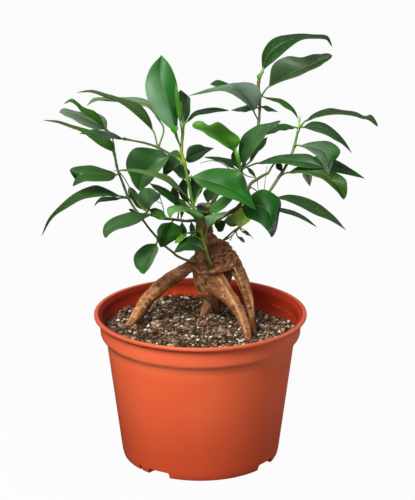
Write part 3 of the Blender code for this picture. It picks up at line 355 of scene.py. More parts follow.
      (362.8, 118.2), (369.6, 120.8)]),
    ("leaf_right_arch", "stem_right", (299, 127.5), 11, 1, -1,
     [(303, 127, -3), (312, 126, -6), (323, 127.5, -9), (334, 133.5, -11),
      (343, 142, -13), (352, 153, -15)],
     [(312, 121.7), (324, 123.2), (335, 130.2), (344.3, 140.5)],
     [(312, 130.6), (322, 133.3), (332, 138.4), (341.5, 143.8)]),
    ("leaf_pale_right", "stem_right", (294.8, 146), 12, 1, -1,
     [(300, 145.5, -8), (311, 146.5, -15), (321, 149, -21),
      (327, 155, -27), (329, 165, -32), (328.5, 175, -35)],
     [(312, 141.8), (329, 141.7), (340.5, 151), (333, 164)],
     [(307, 149.6), (316, 155.5), (321, 162), (325, 170)]),
    ("leaf_right_level", "stem_upper_right", (241.5, 169.5), 12, 1, -1,
     [(258, 163, 0), (270, 161, -8), (284, 159.5, -14), (298, 160, -18),
      (311, 162.5, -22), (324, 168, -25)],
     [(270, 157.8), (284, 154.4), (298, 153.9), (312, 155.4)],
     [(270, 163.9), (284, 163.9), (298, 166.3), (311, 168.3)]),
    ("leaf_right_dark_tip", "stem_right", (290, 158), 12, 1, -1,
     [(297, 158.8, 11), (309, 160.5, 12), (323, 162.5, 10), (338, 166.5, 7),
      (352, 171.5, 3), (365, 178.6, -1)],
     [(309, 156.7), (323, 157), (338, 160.8), (353, 169.8)],
     [(308, 165), (322, 169), (337, 173), (351, 175.4)]),
    ("leaf_right_hanging", "stem_right", (279, 177.3), 12, 1, -1,
     [(288, 172.5, -8), (300, 170.7, -15), (313, 172, -20),
      (326, 176, -25), (337, 184.5, -29), (344, 199.5, -31)],
     [(299, 166.8), (314, 167.5), (330, 170), (346.5, 180.5)],
     [(301, 173.4), (312, 175.4), (323, 180), (335, 189.7)]),
    ("leaf_small_hanging", "stem_right", (288, 162), 7, -1, 1,
     [(301, 166, 10), (305, 171, 13), (308, 177.5, 14), (310, 186.5, 13)],
     [(301.5, 171.5), (304.5, 179)],
     [(311, 170.5), (312, 178)]),
    ("leaf_front", "stem_centre", (188.8, 181), 14, 1, -1,
     [(191.5, 176.8, -18), (203, 179, -25), (217, 182.5, -31),
      (231, 187.5, -35), (245, 196.5, -38), (256, 210, -39)],
     [(207, 169.8), (223, 168), (241, 172.3), (249, 190)],
     [(199, 184.6), (212, 191.5), (226, 197.2), (241, 202.8)]),
    ("leaf_front_right", "stem_brown", (238.5, 206.5), 15, 1, -1,
     [(242, 207, -11), (249.5, 204.7, -16.5), (260, 205.2, -22),
      (268.8, 210.8, -27), (273, 220, -30.3), (273.7, 229.5, -32.2),
      (272.4, 236.8, -33)],
     [(247, 198.5), (263, 189.2), (280, 199.5), (279.2, 214.5),
      (276.6, 228.5)],
     [(245.5, 216), (253, 220), (260.5, 224), (266.2, 229.4),
      (269.4, 234)]),
    ("leaf_right_low", "stem_right", (262, 201), 12, 1, -1,
     [(277, 197, -6), (290, 199, -8), (303, 203.5, -9), (317, 210, -10),
      (331, 217.8, -12), (346, 230, -15)],
     [(290, 194.5), (304.5, 197.3), (320, 204.3), (334, 216)],
     [(289, 202), (302, 207.7), (316, 214.9), (330, 220.6)]),
    ("leaf_right_thin", "stem_right", (254, 210.8), 10, 1, -1,
     [(270, 206.5, 6), (283, 210.4, 16), (295, 213.9, 25), (305, 219, 33),
      (317, 227, 39)],
     [(283, 208.7), (295, 211.9), (306, 217.6)],
     [(283, 212), (295, 215.9), (305, 220.6)]),
    ("leaf_thin_back", "stem_upper_right", (240, 171), 11, 1, -1,
     [(234.5, 168, 10), (229, 163.5, 19), (221.5, 160, 28), (213, 158, 36),
      (204, 157, 43)],
     [(232, 159.8), (222, 157.7), (213, 156.8)],
     [(229, 167), (221, 162.2), (213, 159.5)]),
    ("leaf_young_upper", "stem_upper_right", (259.8, 96), 5, 1, -1,
     [(264.5, 97.2, 11), (272, 99, 14), (280, 101, 16), (288, 105, 16),
      (294, 111, 14), (298.4, 119.3, 11)],
     [(272, 97.8), (280.8, 99), (289.4, 104), (295.2, 110.6)],
     [(271.4, 100.6), (278.4, 103), (285.4, 108), (292.4, 112)]),
    ("leaf_cup_left", "stem_centre", (200, 229), 10, 1, -1,
     [(197.5, 222.5, -16), (194, 216, -21), (188.5, 211, -26),
      (181, 208.7, -30), (172.5, 210, -32), (169.7, 219.5, -32)],
     [(203.5, 215.6), (192, 209.2), (180, 205.2), (167.3, 208.3)],
     [(192.5, 216.5), (187.5, 212), (180, 211.6), (173.5, 213.7)]),
    ("leaf_cup_right", "stem_centre", (203.8, 242), 9, 1, -1,
     [(207.7, 229, -14), (208.5, 221.5, -18), (213, 217.2, -21),
      (221, 214.7, -24), (230.5, 211.5, -27)],
     [(203.6, 217.6), (208.5, 215.4), (219.5, 212.6)],
     [(213.8, 224), (217.6, 219.2), (223, 216.4)]),
    ("leaf_inner_right", "stem_upper_right", (210, 213), 10, 1, -1,
     [(208.5, 213, 0), (214, 209, -6), (220, 204.5, -11),
      (226, 200, -14), (235, 194, -16)],
     [(211, 205.5), (216, 201), (223, 196.5)],
     [(216.3, 213), (224, 208.3), (231, 201.5)]),
    ("leaf_small_dark", "stem_brown", (219, 218.5), 6, 1, -1,
     [(219, 219.5, -8), (219.6, 223, -11), (220.5, 227.5, -14),
      (220.5, 232, -15)],
     [(214.4, 222.6), (216, 228.2)],
     [(225, 221.6), (224.6, 227)]),
    ("leaf_olive", "stem_right", (238.8, 227.8), 9, 1, -1,
     [(239.4, 228, 5), (240.8, 222, 2), (243, 214.8, -1), (246.5, 206, -3)],
     [(232, 219.8), (233, 211.5)],
     [(248.6, 222), (253, 214.5)]),
    ("leaf_inner_back", "stem_centre", (193, 206), 9, 1, -1,
     [(194.3, 203, -6), (194.5, 195, 3), (194.5, 186, 12), (190.8, 174.8, 20)],
     [(191.8, 195), (190.3, 184)],
     [(198.6, 196), (202.5, 187)]),
]


# ------------------------------------------------------------- pot and roots
def outer_radius(z):
    """Radius of the pot's outside (mm) at height z, on its plain walls."""
    if z >= COLLAR_FOOT_HEIGHT:
        f = (z - COLLAR_FOOT_HEIGHT) / (POT_HEIGHT - LIP_DEPTH - COLLAR_FOOT_HEIGHT)
        return COLLAR_FOOT_RADIUS + (COLLAR_TOP_RADIUS - COLLAR_FOOT_RADIUS) * f
    f = (z - BODY_FOOT_HEIGHT) / (BODY_TOP_HEIGHT - BODY_FOOT_HEIGHT)
    return BODY_FOOT_RADIUS + (BODY_TOP_RADIUS - BODY_FOOT_RADIUS) * f


ROOF = CHANNEL_HEIGHT + FLOOR
INNER_WALL = [(outer_radius(ROOF) - WALL, ROOF),
              (outer_radius(BODY_TOP_HEIGHT) - WALL, BODY_TOP_HEIGHT),
              (COLLAR_FOOT_RADIUS - WALL - 0.9, BODY_TOP_HEIGHT + 4.2),
              (COLLAR_FOOT_RADIUS - WALL, BODY_TOP_HEIGHT + 6.5),
              (COLLAR_TOP_RADIUS - WALL, POT_HEIGHT - LIP_DEPTH - 0.5),
              (COLLAR_TOP_RADIUS - WALL + 1.2, POT_HEIGHT - 1.2)]


def path(points, steps):
    """Smooth samples of (u, v, behind, radius) as places and radii."""
    places, radii = [], []
    for i in range(steps):
        u, v, behind, r = along(points, i / (steps - 1))
        places.append(sight(u, v, behind))
        radii.append(r)
    return places, radii


TRUNK = [(204.5, 204.5, 12, 5.4), (204, 214, 12, 5.6), (204, 226, 12, 6.0),
         (205.5, 238, 12, 7.6), (209, 248, 12, 11.5), (211, 258, 12, 13.6),
         (210.5, 268, 12, 12.8), (209.5, 278, 12, 11.4), (209.8, 287, 13, 9.3),
         (211, 295.5, 17, 5.4), (208.8, 303, 22, 4.0), (205.6, 310, 27, 3.2),
         (203.2, 317, 30, 2.5)]
SHOULDER = [(207, 246, 13, 8.0), (216, 248.2, 13, 8.2), (224, 254.2, 12, 7.7),
            (233.6, 264, 10, 6.1), (240.6, 275.5, 8, 4.7), (244.8, 287, 5, 4.2),
            (248.7, 299, 2, 3.4), (251.5, 312, -1, 2.8), (254, 327, -3, 2.0),
            (254.8, 338, -4, 1.5)]
FRONT_ROOT = [(211, 276, 6, 9.6), (217.5, 284, 0, 7.9), (227, 295.5, -6, 5.7),
              (235.6, 306.5, -11, 4.6), (242, 318, -15, 3.8),
              (246.6, 330, -18, 3.1), (248.6, 342, -20, 2.3)]
LEFT_ROOT = [(205, 257.5, 11, 8.2), (191, 265.4, 10, 4.5), (182, 271.6, 10, 5.0),
             (168, 281, 9, 5.1), (156.5, 289.8, 8, 5.1), (146.2, 301, 8, 5.1),
             (139.3, 312, 8, 4.7), (132.5, 323, 8, 3.6),
             (125.5, 331, 8, 2.6)]
REAR_ROOT = [(221, 262, 16, 7.0), (226.8, 270.5, 19, 4.6), (225.5, 280, 24, 3.9),
             (223.5, 290, 30, 3.3), (220.5, 301, 36, 2.7), (217.5, 311, 40, 2.2)]


def soil_height(x, y):
    """The uneven soil surface (mm): heaped at the back, low on the right."""
    z = SOIL_LEVEL
    z += 3.6 * math.exp(-((x + 22) ** 2 + (y - 62) ** 2) / 260.0)
    z -= 4.6 * math.exp(-((x - 47) ** 2 + (y - 40) ** 2) / 700.0)
    z += 1.8 * math.exp(-((x + 52) ** 2 + (y - 30) ** 2) / 500.0)
    z += 1.4 * math.exp(-((x - 8) ** 2 + (y + 20) ** 2) / 900.0)
    z += 0.5 * math.sin(x * 0.21 + 1.0) * math.cos(y * 0.17)
    return z


# ---------------------------------------------------------- shape of a leaf
def breadth(t):
    """How broad a leaf is along its length, 1 at its widest."""
    return math.sin(math.pi * min(max(t, 0.0), 1.0) ** 0.85) ** 0.8


def edge(mid, side, lean, half_width):
    """The edge's control points: (u, v) as read, its depth from the width."""
    controls = [mid[0]]
    last = len(mid) - 1
    for i, (u, v) in enumerate(side):
        mu, mv, behind = mid[i + 1]
        across = math.hypot(u - mu, v - mv) / 1.41
        whole = half_width * breadth((i + 1) / last)
        controls.append((u, v, behind + lean
                         * math.sqrt(max(whole ** 2 - across ** 2, 0.0))))
    controls.append(mid[-1])
    return controls


# ------------------------------------------------------------------- helpers
def build(name, verts, faces, slots, index=None, corner_uv=None, sharp=None):
    """A mesh object from places in mm."""
    mesh = bpy.data.meshes.new(name)
    mesh.from_pydata([tuple(c * MM for c in v) for v in verts], [], faces)
    for m in slots:
        mesh.materials.append(m)
    if index is not None:
        mesh.polygons.foreach_set("material_index", index)
    if corner_uv is not None:
        layer = mesh.uv_layers.new(name="surface")
        layer.data.foreach_set("uv", np.asarray(corner_uv, dtype=float).ravel())
    mesh.shade_smooth()
    if sharp is not None:
        mesh.set_sharp_from_angle(angle=math.radians(sharp))
    mesh.update()
    obj = bpy.data.objects.new(name, mesh)
    bpy.context.scene.collection.objects.link(obj)
    return obj


def stands_for(obj, *nodes):
    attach(obj, "root")
    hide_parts(*nodes)
    return obj


def give(mesh, name, values):
    """A number for each vertex."""
    layer = mesh.attributes.new(name, 'FLOAT', 'POINT')
    layer.data.foreach_set("value", np.asarray(values, dtype=np.float32))


def tint(mesh, colour):
    layer = mesh.attributes.new("tint", 'FLOAT_COLOR', 'POINT')
    layer.data.foreach_set("color", np.tile(np.asarray((*colour, 1.0), np.float32),
                                            len(mesh.vertices)))


def smoothstep(low, high, x):
    x = min(max((x - low) / (high - low), 0.0), 1.0)
    return x * x * (3 - 2 * x)


def noise3(x, y, z):
    return noise.noise(Vector((x, y, z)))


def frames_along(points):
    """Two unit vectors across a line of places at each of them."""
    out = []
    last = None
    for i in range(len(points)):
        ahead = (points[min(i + 1, len(points) - 1)] - points[max(i - 1, 0)]).normalized()
        if last is None:
            side = ahead.cross(Vector((0.31, -0.83, 0.46))).normalized()
        else:
            side = (last - ahead * last.dot(ahead)).normalized()
        out.append((side, ahead.cross(side)))
        last = side
    return out


def tube_parts(points, radii, sides, shape=None, v_range=(0.0, 1.0)):
    """Round skin with closed ends: places, faces and each corner's (u, v)."""
    across = frames_along(points)
    verts, faces, uv = [], [], []
    last = len(points) - 1
    for i, (p, r, (e, f)) in enumerate(zip(points, radii, across)):
        for k in range(sides):
            a = 2 * math.pi * k / sides
            s = r * (shape(i, a) if shape else 1.0)
            verts.append(p + e * (math.cos(a) * s) + f * (math.sin(a) * s))
    low, high = v_range
    for i in range(last):
        v0 = low + (high - low) * i / last
        v1 = low + (high - low) * (i + 1) / last
        for k in range(sides):
            n = (k + 1) % sides
            faces.append((i * sides + k, i * sides + n,
                          (i + 1) * sides + n, (i + 1) * sides + k))
            uv += [(k / sides, v0), ((k + 1) / sides, v0),
                   ((k + 1) / sides, v1), (k / sides, v1)]
    faces.append(tuple(range(sides))[::-1])
    uv += [(0.5, low)] * sides
    faces.append(tuple(last * sides + k for k in range(sides)))
    uv += [(0.5, high)] * sides
    return verts, faces, uv


def resampled(places, radii, step):
    """The same line with its places `step` mm apart."""
    runs = [0.0]
    for a, b in zip(places, places[1:]):
        runs.append(runs[-1] + (b - a).length)
    count = max(int(runs[-1] / step), 4)
    out, out_radii, j = [], [], 0
    for i in range(count + 1):
        at = runs[-1] * i / count
        while j < len(runs) - 2 and runs[j + 1] < at:
            j += 1
        f = (at - runs[j]) / max(runs[j + 1] - runs[j], 1e-9)
        out.append(places[j].lerp(places[j + 1], f))
        out_radii.append(radii[j] * (1 - f) + radii[j + 1] * f)
    return out, out_radii


# ----------------------------------------------------------------- materials
class Shade:
    """A Principled material and short names for the nodes that feed it."""

    def __init__(self, name, **sockets):
        self.mat = bpy.data.materials.new(name)
        self.mat.use_nodes = True
        self.tree = self.mat.node_tree
        self.shader = self.tree.nodes["Principled BSDF"]
        for key, value in sockets.items():
            self.shader.inputs[key.replace("_", " ")].default_value = value
        self.where = self.new("ShaderNodeTexCoord")
        self.spot = self.where.outputs["Object"]

    def new(self, kind, **props):
        node = self.tree.nodes.new(kind)
        for key, value in props.items():
            setattr(node, key, value)
        return node

    def put(self, socket, value):
        if isinstance(value, bpy.types.NodeSocket):
            self.tree.links.new(value, socket)
        elif isinstance(value, tuple) and len(value) == 3 and socket.type == 'RGBA':
            socket.default_value = (*value, 1.0)
        else:
            socket.default_value = value

    def math(self, operation, a, b=0.0, c=None, clamp=False):
        node = self.new("ShaderNodeMath", operation=operation, use_clamp=clamp)
        self.put(node.inputs[0], a)
        self.put(node.inputs[1], b)
        if c is not None:
            self.put(node.inputs[2], c)
        return node.outputs[0]

    def mix(self, factor, a, b, blend='MIX'):
        node = self.new("ShaderNodeMix", data_type='RGBA', blend_type=blend)
        self.put(node.inputs[0], factor)
        self.put(node.inputs[6], a)
        self.put(node.inputs[7], b)
        return node.outputs[2]

    def span(self, value, from_low, from_high, to_low=0.0, to_high=1.0, smooth=True):
        node = self.new("ShaderNodeMapRange",
                        interpolation_type='SMOOTHSTEP' if smooth else 'LINEAR')
        for i, v in enumerate((value, from_low, from_high, to_low, to_high)):
            self.put(node.inputs[i], v)
        return node.outputs[0]

    def noise(self, scale, detail=3.0, rough=0.55, vector=None, distortion=0.0):
        node = self.new("ShaderNodeTexNoise")
        self.put(node.inputs["Vector"], vector or self.spot)
        node.inputs["Scale"].default_value = scale
        node.inputs["Detail"].default_value = detail
        node.inputs["Roughness"].default_value = rough
        node.inputs["Distortion"].default_value = distortion
        return node.outputs["Fac"]

    def cells(self, scale, vector=None, feature='F1', output="Distance"):
        node = self.new("ShaderNodeTexVoronoi", feature=feature)
        self.put(node.inputs["Vector"], vector or self.spot)
        node.inputs["Scale"].default_value = scale
        return node.outputs[output]

    def stretched(self, scale, vector=None):
        node = self.new("ShaderNodeMapping")
        self.put(node.inputs["Vector"], vector or self.spot)
        node.inputs["Scale"].default_value = scale
        return node.outputs[0]

    def number(self, name):
        return self.new("ShaderNodeAttribute", attribute_name=name).outputs["Fac"]

    def colour(self, name):
        return self.new("ShaderNodeAttribute", attribute_name=name).outputs["Color"]

    def bump(self, height, distance, strength=1.0, under=None):
        node = self.new("ShaderNodeBump")
        node.inputs["Strength"].default_value = strength
        node.inputs["Distance"].default_value = distance
        self.put(node.inputs["Height"], height)
        if under is not None:
            self.put(node.inputs["Normal"], under)
        return node.outputs[0]

    def uv(self):
        split = self.new("ShaderNodeSeparateXYZ")
        self.put(split.inputs[0], self.where.outputs["UV"])
        return split.outputs[0], split.outputs[1]

    def finish(self, colour=None, roughness=None, normal=None):
        if colour is not None:
            self.put(self.shader.inputs["Base Color"], colour)
        if roughness is not None:
            self.put(self.shader.inputs["Roughness"], roughness)
        if normal is not None:
            self.put(self.shader.inputs["Normal"], normal)
        return self.mat


VEINS = 9.0


def leaf_material(name, lower):
    """The blade: pale midrib, faint side veins, light margin, waxy gloss."""
    s = Shade(name, Specular_IOR_Level=0.17 if lower else 0.19,
              Subsurface_Weight=0.10, Subsurface_Radius=(0.5, 1.0, 0.15),
              Subsurface_Scale=0.0007)
    u, v = s.uv()
    side = s.math('ABSOLUTE', s.math('MULTIPLY_ADD', u, 2.0, -1.0))
    rib_width = s.span(v, 0.0, 1.0, 0.062, 0.022, smooth=False)
    rib = s.span(s.math('DIVIDE', side, rib_width), 0.45, 1.0, 1.0, 0.0)
    # side veins leave the midrib forwards and bend towards the tip
    bent = s.math('MULTIPLY', side, s.math('MULTIPLY_ADD', side, 0.55, 1.15))
    run = s.math('SUBTRACT', s.math('MULTIPLY', v, VEINS), bent)
    wave = s.math('ABSOLUTE', s.math('MULTIPLY_ADD', s.math('FRACT', run), 2.0, -1.0))
    vein = s.span(wave, 0.82, 1.0)
    vein = s.math('MULTIPLY', vein, s.span(side, 0.95, 0.70))
    net = s.span(s.cells(900.0, feature='DISTANCE_TO_EDGE'), 0.0, 0.06, 1.0, 0.0)
    broad = s.noise(55.0, 2.0)
    fine = s.noise(420.0, 3.0)
    margin = s.span(side, 0.955, 0.998)
    own = s.colour("tint")
    if lower:
        base = s.mix(0.46, own, (0.095, 0.190, 0.060))
        dark = s.mix(0.25, base, (0.04, 0.10, 0.02))
        rib_colour, vein_amount, rib_amount = (0.20, 0.31, 0.08), 0.35, 0.8
    else:
        base = own
        dark = s.mix(0.38, own, (0.008, 0.042, 0.006))
        rib_colour, vein_amount, rib_amount = (0.080, 0.190, 0.038), 0.13, 0.42
    col = s.mix(s.span(broad, 0.35, 0.68), dark, base)
    # a little paler towards the margin
    col = s.mix(s.span(side, 0.35, 1.0, 0.0, 0.14), col, s.mix(0.5, own, (0.07, 0.20, 0.035)))
    col = s.mix(s.math('MULTIPLY', vein, vein_amount), col, rib_colour)
    col = s.mix(s.math('MULTIPLY', net, 0.08 if lower else 0.04), col, rib_colour)
    col = s.mix(s.math('MULTIPLY', margin, 0.22), col, (0.13, 0.26, 0.05))
    col = s.mix(s.math('MULTIPLY', rib, rib_amount), col, rib_colour)
    rough = s.span(fine, 0.3, 0.7, 0.56 if lower else 0.40, 0.70 if lower else 0.52)
    height = s.math('ADD', s.math('MULTIPLY', vein, 0.30 if lower else -0.22),
                    s.math('MULTIPLY', broad, 0.25))
    height = s.math('ADD', height, s.math('MULTIPLY', rib, -0.4))
    return s.finish(col, rough, s.bump(height, 0.00016, 0.5))


def stalk_material():
    s = Shade("leaf_stalk", Specular_IOR_Level=0.5, Subsurface_Weight=0.08,
              Subsurface_Radius=(0.6, 1.0, 0.25), Subsurface_Scale=0.0008)
    streak = s.noise(900.0, 3.0)
    col = s.mix(s.span(streak, 0.35, 0.7), (0.046, 0.125, 0.014), (0.105, 0.225, 0.030))
    return s.finish(col, s.span(streak, 0.3, 0.7, 0.34, 0.5),
                    s.bump(streak, 0.0001, 0.6))


def shoot_material(name, foot, middle, tip):
    """Green bark: colour from the foot of the shoot to its tip."""
    s = Shade(name, Specular_IOR_Level=0.45)
    _, v = s.uv()
    patch = s.noise(150.0, 3.0)
    fine = s.noise(1100.0, 4.0, 0.6)
    lenses = s.cells(700.0, vector=s.stretched((1.0, 1.0, 0.55)))
    spot = s.span(lenses, 0.10, 0.22, 1.0, 0.0)
    height = s.math('MULTIPLY_ADD', patch, 0.22, -0.11)
    place = s.math('ADD', v, height)
    col = s.mix(s.span(place, 0.05, 0.42), foot, middle)
    col = s.mix(s.span(place, 0.55, 0.98), col, tip)
    # side arms are as dark as the leaves that they carry
    col = s.mix(s.span(v, 1.2, 1.8), col, (0.034, 0.084, 0.014))
    col = s.mix(s.span(fine, 0.42, 0.75, 0.0, 0.40), col, (0.030, 0.030, 0.010))
    col = s.mix(s.math('MULTIPLY', spot, 0.35), col, (0.30, 0.25, 0.12))
    col = s.mix(s.number("brown"), col, s.mix(s.span(fine, 0.35, 0.65), (0.075, 0.045, 0.008),
                                              (0.135, 0.090, 0.012)))
    col = s.mix(s.number("gold"), col, (0.250, 0.330, 0.022))
    col = s.mix(s.number("pale"), col, (0.270, 0.500, 0.130))
    rough = s.span(fine, 0.3, 0.7, 0.42, 0.62)
    return s.finish(col, rough, s.bump(s.math('ADD', fine, s.math('MULTIPLY', spot, 0.6)),
                                       0.00018, 0.8))


def bark_material():
    """Brown root bark, ringed: dark in its wrinkles and tan on its ridges, partly painted shade and painted
    highlight.
    """
    s = Shade("root_bark", Specular_IOR_Level=0.17)
    hollow_and_shade = s.number("relief_and_shade")
    ring = s.number("ring")
    cut = s.number("cut")
    red = s.number("neck")
    old = s.number("crown")
    patch = s.noise(75.0, 4.0, 0.6)
    fine = s.noise(650.0, 5.0, 0.65)
    speck = s.noise(1500.0, 4.0, 0.7)
    grain = s.noise(1.0, 4.0, 0.6, vector=s.stretched((900.0, 900.0, 200.0)))
    col = s.mix(s.span(patch, 0.32, 0.70), (0.185, 0.064, 0.020), (0.300, 0.116, 0.040))
    # painted light and shade: besides the real wrinkles and ridges, the relief number is raised where the bark
    # faces up and to the left, towards the light, and lowered where it faces down, so those parts are painted
    # paler and darker
    col = s.mix(s.span(hollow_and_shade, 0.56, 0.94, 0.0, 0.70), col, (0.540, 0.240, 0.096))
    col = s.mix(s.span(hollow_and_shade, 0.48, 0.14, 0.0, 0.88), col, (0.085, 0.030, 0.012))
    # worn tan bark and painted highlight: the lit ridges and lobes are painted tan
    tan_and_highlight = s.number("tan_and_highlight")
    col = s.mix(s.math('MULTIPLY', tan_and_highlight, s.span(fine, 0.25, 0.60, 1.0, 0.60)), col,
                (0.580, 0.325, 0.158))
    col = s.mix(s.span(ring, 0.45, 0.95, 0.0, 0.48), col, (0.600, 0.320, 0.155))
    col = s.mix(s.span(fine, 0.52, 0.76, 0.0, 0.34), col, (0.110, 0.042, 0.019))
    col = s.mix(s.span(grain, 0.55, 0.75, 0.0, 0.30), col, (0.620, 0.370, 0.190))
    col = s.mix(s.span(speck, 0.60, 0.72, 0.0, 0.26), col, (0.055, 0.022, 0.010))
    crusty = s.mix(s.span(fine, 0.38, 0.66), (0.046, 0.020, 0.009), (0.235, 0.112, 0.054))
    crusty = s.mix(s.span(speck, 0.60, 0.74, 0.0, 0.5), crusty, (0.200, 0.155, 0.070))
    col = s.mix(old, col, crusty)
    col = s.mix(s.math('MULTIPLY', red, 0.62), col, (0.180, 0.055, 0.028))
    col = s.mix(cut, col, s.mix(s.span(fine, 0.35, 0.7), (0.44, 0.31, 0.17), (0.80, 0.69, 0.47)))
    # painted shade where the SHADED spots lie
    col = s.mix(s.math('MULTIPLY', s.number("shade"), 0.85), col,
                s.mix(s.span(fine, 0.40, 0.66), (0.036, 0.015, 0.007), (0.105, 0.046, 0.020)))
    pit_and_shade = s.number("pit_and_shade")
    # painted shade: the pits are painted almost black
    col = s.mix(s.math('MULTIPLY', pit_and_shade, 0.86), col, (0.026, 0.011, 0.005))
    rough = s.span(fine, 0.3, 0.75, 0.52, 0.82)
    height = s.math('ADD', s.math('MULTIPLY', fine, 0.9), s.math('MULTIPLY', grain, 0.4))
    height = s.math('ADD', height, s.math('MULTIPLY', speck, 0.3))
    return s.finish(col, rough, s.bump(height, 0.00045, 0.9))


def plastic_material(name, within):
    """Terracotta-coloured moulded plastic, satin, with faint dust and scuffs, and painted light and shade."""
    s = Shade(name, Specular_IOR_Level=0.10 if within else 0.36,
              Subsurface_Weight=0.05, Subsurface_Radius=(1.0, 0.3, 0.1),
              Subsurface_Scale=0.001)
    broad = s.noise(16.0, 3.0)
    streak = s.noise(1.0, 4.0, 0.6, vector=s.stretched((110.0, 110.0, 9.0)))
    skin = s.noise(1500.0, 2.0)
    speck = s.cells(420.0)
    low = s.new("ShaderNodeSeparateXYZ")
    s.put(low.inputs[0], s.spot)
    height_at = low.outputs[2]
    if within:
        # painted shade: the inside is the same plastic painted darker and deeper red, with painted light at the
        # back, painted shade on the right, and painted shade under the lip on the left
        col = s.mix(s.span(broad, 0.35, 0.68), (0.430, 0.030, 0.010), (0.500, 0.038, 0.012))
        col = s.mix(s.number("lit_wall"), col, (1.000, 0.105, 0.030))
        col = s.mix(s.number("dim_wall"), col, (0.250, 0.016, 0.005))
        col = s.mix(s.number("eaves"), col, (0.130, 0.009, 0.004))
        # painted highlight: a paler line on the wall above the soil stands for the light on a step in the mould
        line = s.math('MULTIPLY', s.span(height_at, 0.0956, 0.0960),
                      s.span(height_at, 0.0968, 0.0963))
        line = s.math('MULTIPLY', line, s.span(streak, 0.40, 0.62, 0.15, 0.55))
        col = s.mix(line, col, (0.700, 0.110, 0.050))
    else:
        col = s.mix(s.span(broad, 0.35, 0.68), (0.640, 0.095, 0.031), (0.700, 0.112, 0.040))
        col = s.mix(s.span(streak, 0.52, 0.78, 0.0, 0.16), col, (0.72, 0.16, 0.066))
        # painted shade and light: the foot is painted darker and the collar paler, for the light falling off down
        # the pot
        col = s.mix(s.span(height_at, 0.075, 0.004, 0.0, 0.78), col, (0.450, 0.050, 0.014))
        col = s.mix(s.span(height_at, 0.0890, 0.0935, 0.0, 0.62), col, (0.700, 0.124, 0.049))
        # painted light: a paler strip just under the lip, against the shade of the crease there
        col = s.mix(s.span(height_at, 0.1015, 0.1040, 0.0, 0.12), col, (0.930, 0.190, 0.075))
        col = s.mix(s.number("lip"), col, (0.440, 0.070, 0.032))
        # painted light: faces that look down under the lip and the collar are painted paler against their shade
        col = s.mix(s.number("overhang_painted_light"), col, (1.000, 0.215, 0.085))
        # painted light: just under the collar the wall is painted paler, against the shade cast by the collar
        painted_light_band = s.math('MULTIPLY', s.span(height_at, 0.0765, 0.0835, 0.0, 0.20),
                      s.span(height_at, 0.0875, 0.0850))
        col = s.mix(painted_light_band, col, (0.930, 0.190, 0.075))
        # painted shade: the underside inside the foot ring, seen through the notches, is painted almost black
        col = s.mix(s.number("below"), col, (0.008, 0.002, 0.001))
    dust = s.number("dust")
    grime = s.math('MULTIPLY', dust, s.span(s.noise(260.0, 5.0, 0.65), 0.44, 0.66))
    col = s.mix(s.math('MULTIPLY', grime, 0.75), col, (0.150, 0.052, 0.026))
    col = s.mix(s.math('MULTIPLY', s.span(speck, 0.10, 0.16, 1.0, 0.0), 0.10), col,
                (0.40, 0.050, 0.016))
    rough = s.span(streak, 0.3, 0.75, *((0.50, 0.62) if within else (0.38, 0.48)))
    rough = s.math('ADD', rough, s.math('MULTIPLY', grime, 0.4), clamp=True)
    height = s.math('ADD', s.math('MULTIPLY', skin, 0.35), s.math('MULTIPLY', broad, 1.5))
    return s.finish(col, rough, s.bump(height, 0.00012, 0.6))


def peat_material():
    s = Shade("damp_peat", Specular_IOR_Level=0.2)
    coarse = s.cells(560.0, output="Color")
    part = s.new("ShaderNodeSeparateColor")
    s.put(part.inputs[0], coarse)
    kind = part.outputs[0]
    fine = s.noise(1600.0, 5.0, 0.7)
    damp = s.noise(45.0, 3.0)
    low = s.number("relief_and_shade")
    col = s.mix(s.span(kind, 0.1, 0.9), (0.030, 0.015, 0.008), (0.150, 0.082, 0.043))
    col = s.mix(s.span(kind, 0.90, 0.99), col, (0.42, 0.32, 0.21))
    col = s.mix(s.span(fine, 0.35, 0.70, 0.45, 0.0), col, (0.030, 0.017, 0.010))
    col = s.mix(s.span(damp, 0.35, 0.65, 0.20, 0.0), col, (0.060, 0.035, 0.022))
    # painted shade: the low spots of the peat surface are painted darker
    col = s.mix(s.span(low, 0.42, 0.0, 0.0, 0.65), col, (0.022, 0.013, 0.008))
    return s.finish(col, s.span(fine, 0.3, 0.7, 0.80, 0.98), s.bump(fine, 0.0007, 1.0))


def crumb_material(name, tones, gloss=0.9):
    """Loose grains: each keeps one tone, with a rough skin."""
    s = Shade(name, Specular_IOR_Level=0.2)
    tone = s.number("tone")
    fine = s.noise(1900.0, 4.0, 0.7)
    ramp = s.new("ShaderNodeValToRGB")
    s.put(ramp.inputs[0], tone)
    stops = ramp.color_ramp.elements
    while len(stops) < len(tones):
        stops.new(0.5)
    for stop, (at, colour) in zip(stops, tones):
        stop.position = at
    for stop, (at, colour) in zip(stops, tones):
        stop.color = (*colour, 1.0)
    col = s.mix(s.span(fine, 0.35, 0.62, 0.55, 0.0), ramp.outputs[0],
                s.mix(0.75, ramp.outputs[0], (0.02, 0.012, 0.008)))
    return s.finish(col, gloss, s.bump(fine, 0.0004, 0.9))


def fibre_material():
    s = Shade("peat_fibre", Specular_IOR_Level=0.3)
    tone = s.number("tone")
    fine = s.noise(1500.0, 3.0)
    col = s.mix(tone, (0.085, 0.045, 0.022), (0.42, 0.28, 0.15))
    col = s.mix(s.span(fine, 0.4, 0.7, 0.4, 0.0), col, (0.05, 0.026, 0.013))
    return s.finish(col, 0.75, s.bump(fine, 0.0002, 0.7))


